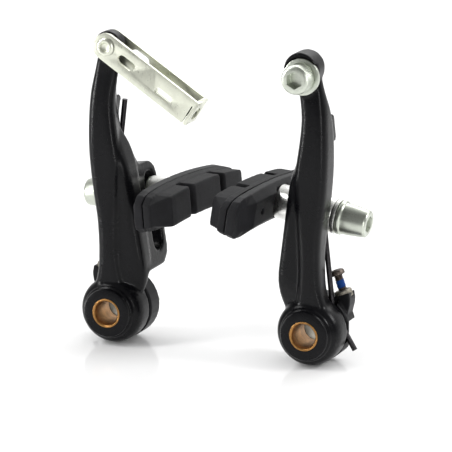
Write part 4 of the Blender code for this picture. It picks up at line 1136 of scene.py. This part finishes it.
class BRAKE_OT_stage(Undoable, bpy.types.Operator):
    """Add the floor, the lamps and the camera"""

    bl_idname = "brake.stage"
    bl_label = "Stage"

    def execute(self, context):
        self.add_floor()
        self.add_surround(context.scene)
        self.add_lamps()
        self.add_camera(context.scene)
        context.scene.view_settings.view_transform = "Standard"
        return {"FINISHED"}

    def add_floor(self):
        stage = settings().stage
        place = (0.0, 0.0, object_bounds()[0][2] - FLOOR_GAP)
        floor = added(bpy.ops.mesh.primitive_plane_add, size=stage.floor_size, location=place)
        apply_place(floor)
        floor.name = "floor"
        floor.data.materials.append(floor_finish())
        floor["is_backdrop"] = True

    def add_surround(self, scene):
        """Light from all round. Reflections see a bright backdrop behind and a darker studio in front."""
        stage = settings().stage
        world = bpy.data.worlds.new("surround")
        world.use_nodes = True
        background = world.node_tree.nodes["Background"]
        background.inputs["Color"].default_value = (1.0, 1.0, 1.0, 1.0)
        parts = add_node(world, "ShaderNodeSeparateXYZ")
        connect(world, add_node(world, "ShaderNodeTexCoord").outputs["Generated"], parts.inputs["Vector"])
        seen = remap(world, parts.outputs["Y"], BACKDROP_STARTS, BACKDROP_FULL, stage.studio, stage.backdrop)
        glossy = add_node(world, "ShaderNodeLightPath").outputs["Is Glossy Ray"]
        strength = remap(world, glossy, 0.0, 1.0, stage.surround, stage.backdrop)
        connect(world, seen, strength.node.inputs["To Max"])
        connect(world, strength, background.inputs["Strength"])
        scene.world = world

    def add_lamps(self):
        for name, place, size, power in LAMPS:
            lamp = added(bpy.ops.object.light_add, type="AREA", location=place)
            lamp.name = name
            lamp.data.shape = "RECTANGLE"
            lamp.data.size, lamp.data.size_y = size
            lamp.data.energy = power
            lamp.rotation_euler = (LAMP_AIM - Vector(place)).to_track_quat("-Z", "Y").to_euler()

    def add_camera(self, scene):
        stage = settings().stage
        away = Vector((
            sin(stage.azimuth) * cos(stage.elevation), -cos(stage.azimuth) * cos(stage.elevation),
            sin(stage.elevation),
        ))
        place, turn = Vector(stage.aim) + away * stage.distance, (-away).to_track_quat("-Z", "Y").to_euler()
        camera = added(bpy.ops.object.camera_add, location=place, rotation=turn)
        camera.data.lens = stage.lens
        camera.data.clip_start = 0.05
        scene.camera = camera


class BrakeLooks(bpy.types.PropertyGroup):
    """All settings of the brake's looks."""

    finish: bpy.props.PointerProperty(type=FinishSettings)
    form: bpy.props.PointerProperty(type=FormSettings)
    stage: bpy.props.PointerProperty(type=StageSettings)


# In the order in which main runs them
OPERATORS = (
    BRAKE_OT_finishes, BRAKE_OT_arms, BRAKE_OT_pivots, BRAKE_OT_seats, BRAKE_OT_springs,
    BRAKE_OT_tension_screws, BRAKE_OT_shoes, BRAKE_OT_shoe_hardware, BRAKE_OT_ball_joints, BRAKE_OT_link,
    BRAKE_OT_cable_anchor, BRAKE_OT_stage,
)


class BRAKE_PT_looks(bpy.types.Panel):
    """Panel with one button for each group of pieces"""

    bl_idname = "BRAKE_PT_looks"
    bl_label = "Mini V-brake"
    bl_space_type = "VIEW_3D"
    bl_region_type = "UI"
    bl_category = "Brake"

    def draw(self, context):
        for operator in OPERATORS:
            self.layout.operator(operator.bl_idname)
        looks = context.scene.brake_looks
        for group in (looks.finish, looks.form, looks.stage):
            box = self.layout.box()
            for key in group.__annotations__:
                box.prop(group, key)


CLASSES = (FinishSettings, FormSettings, StageSettings, BrakeLooks, *OPERATORS, BRAKE_PT_looks)


def register():
    for kind in CLASSES:
        bpy.utils.register_class(kind)
    bpy.types.Scene.brake_looks = bpy.props.PointerProperty(type=BrakeLooks)


def unregister():
    del bpy.types.Scene.brake_looks
    for kind in reversed(CLASSES):
        bpy.utils.unregister_class(kind)


def main():
    register()
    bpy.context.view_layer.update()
    for operator in OPERATORS:
        getattr(bpy.ops.brake, operator.bl_idname.split(".")[1])()


if __name__ == "__main__":
    main()
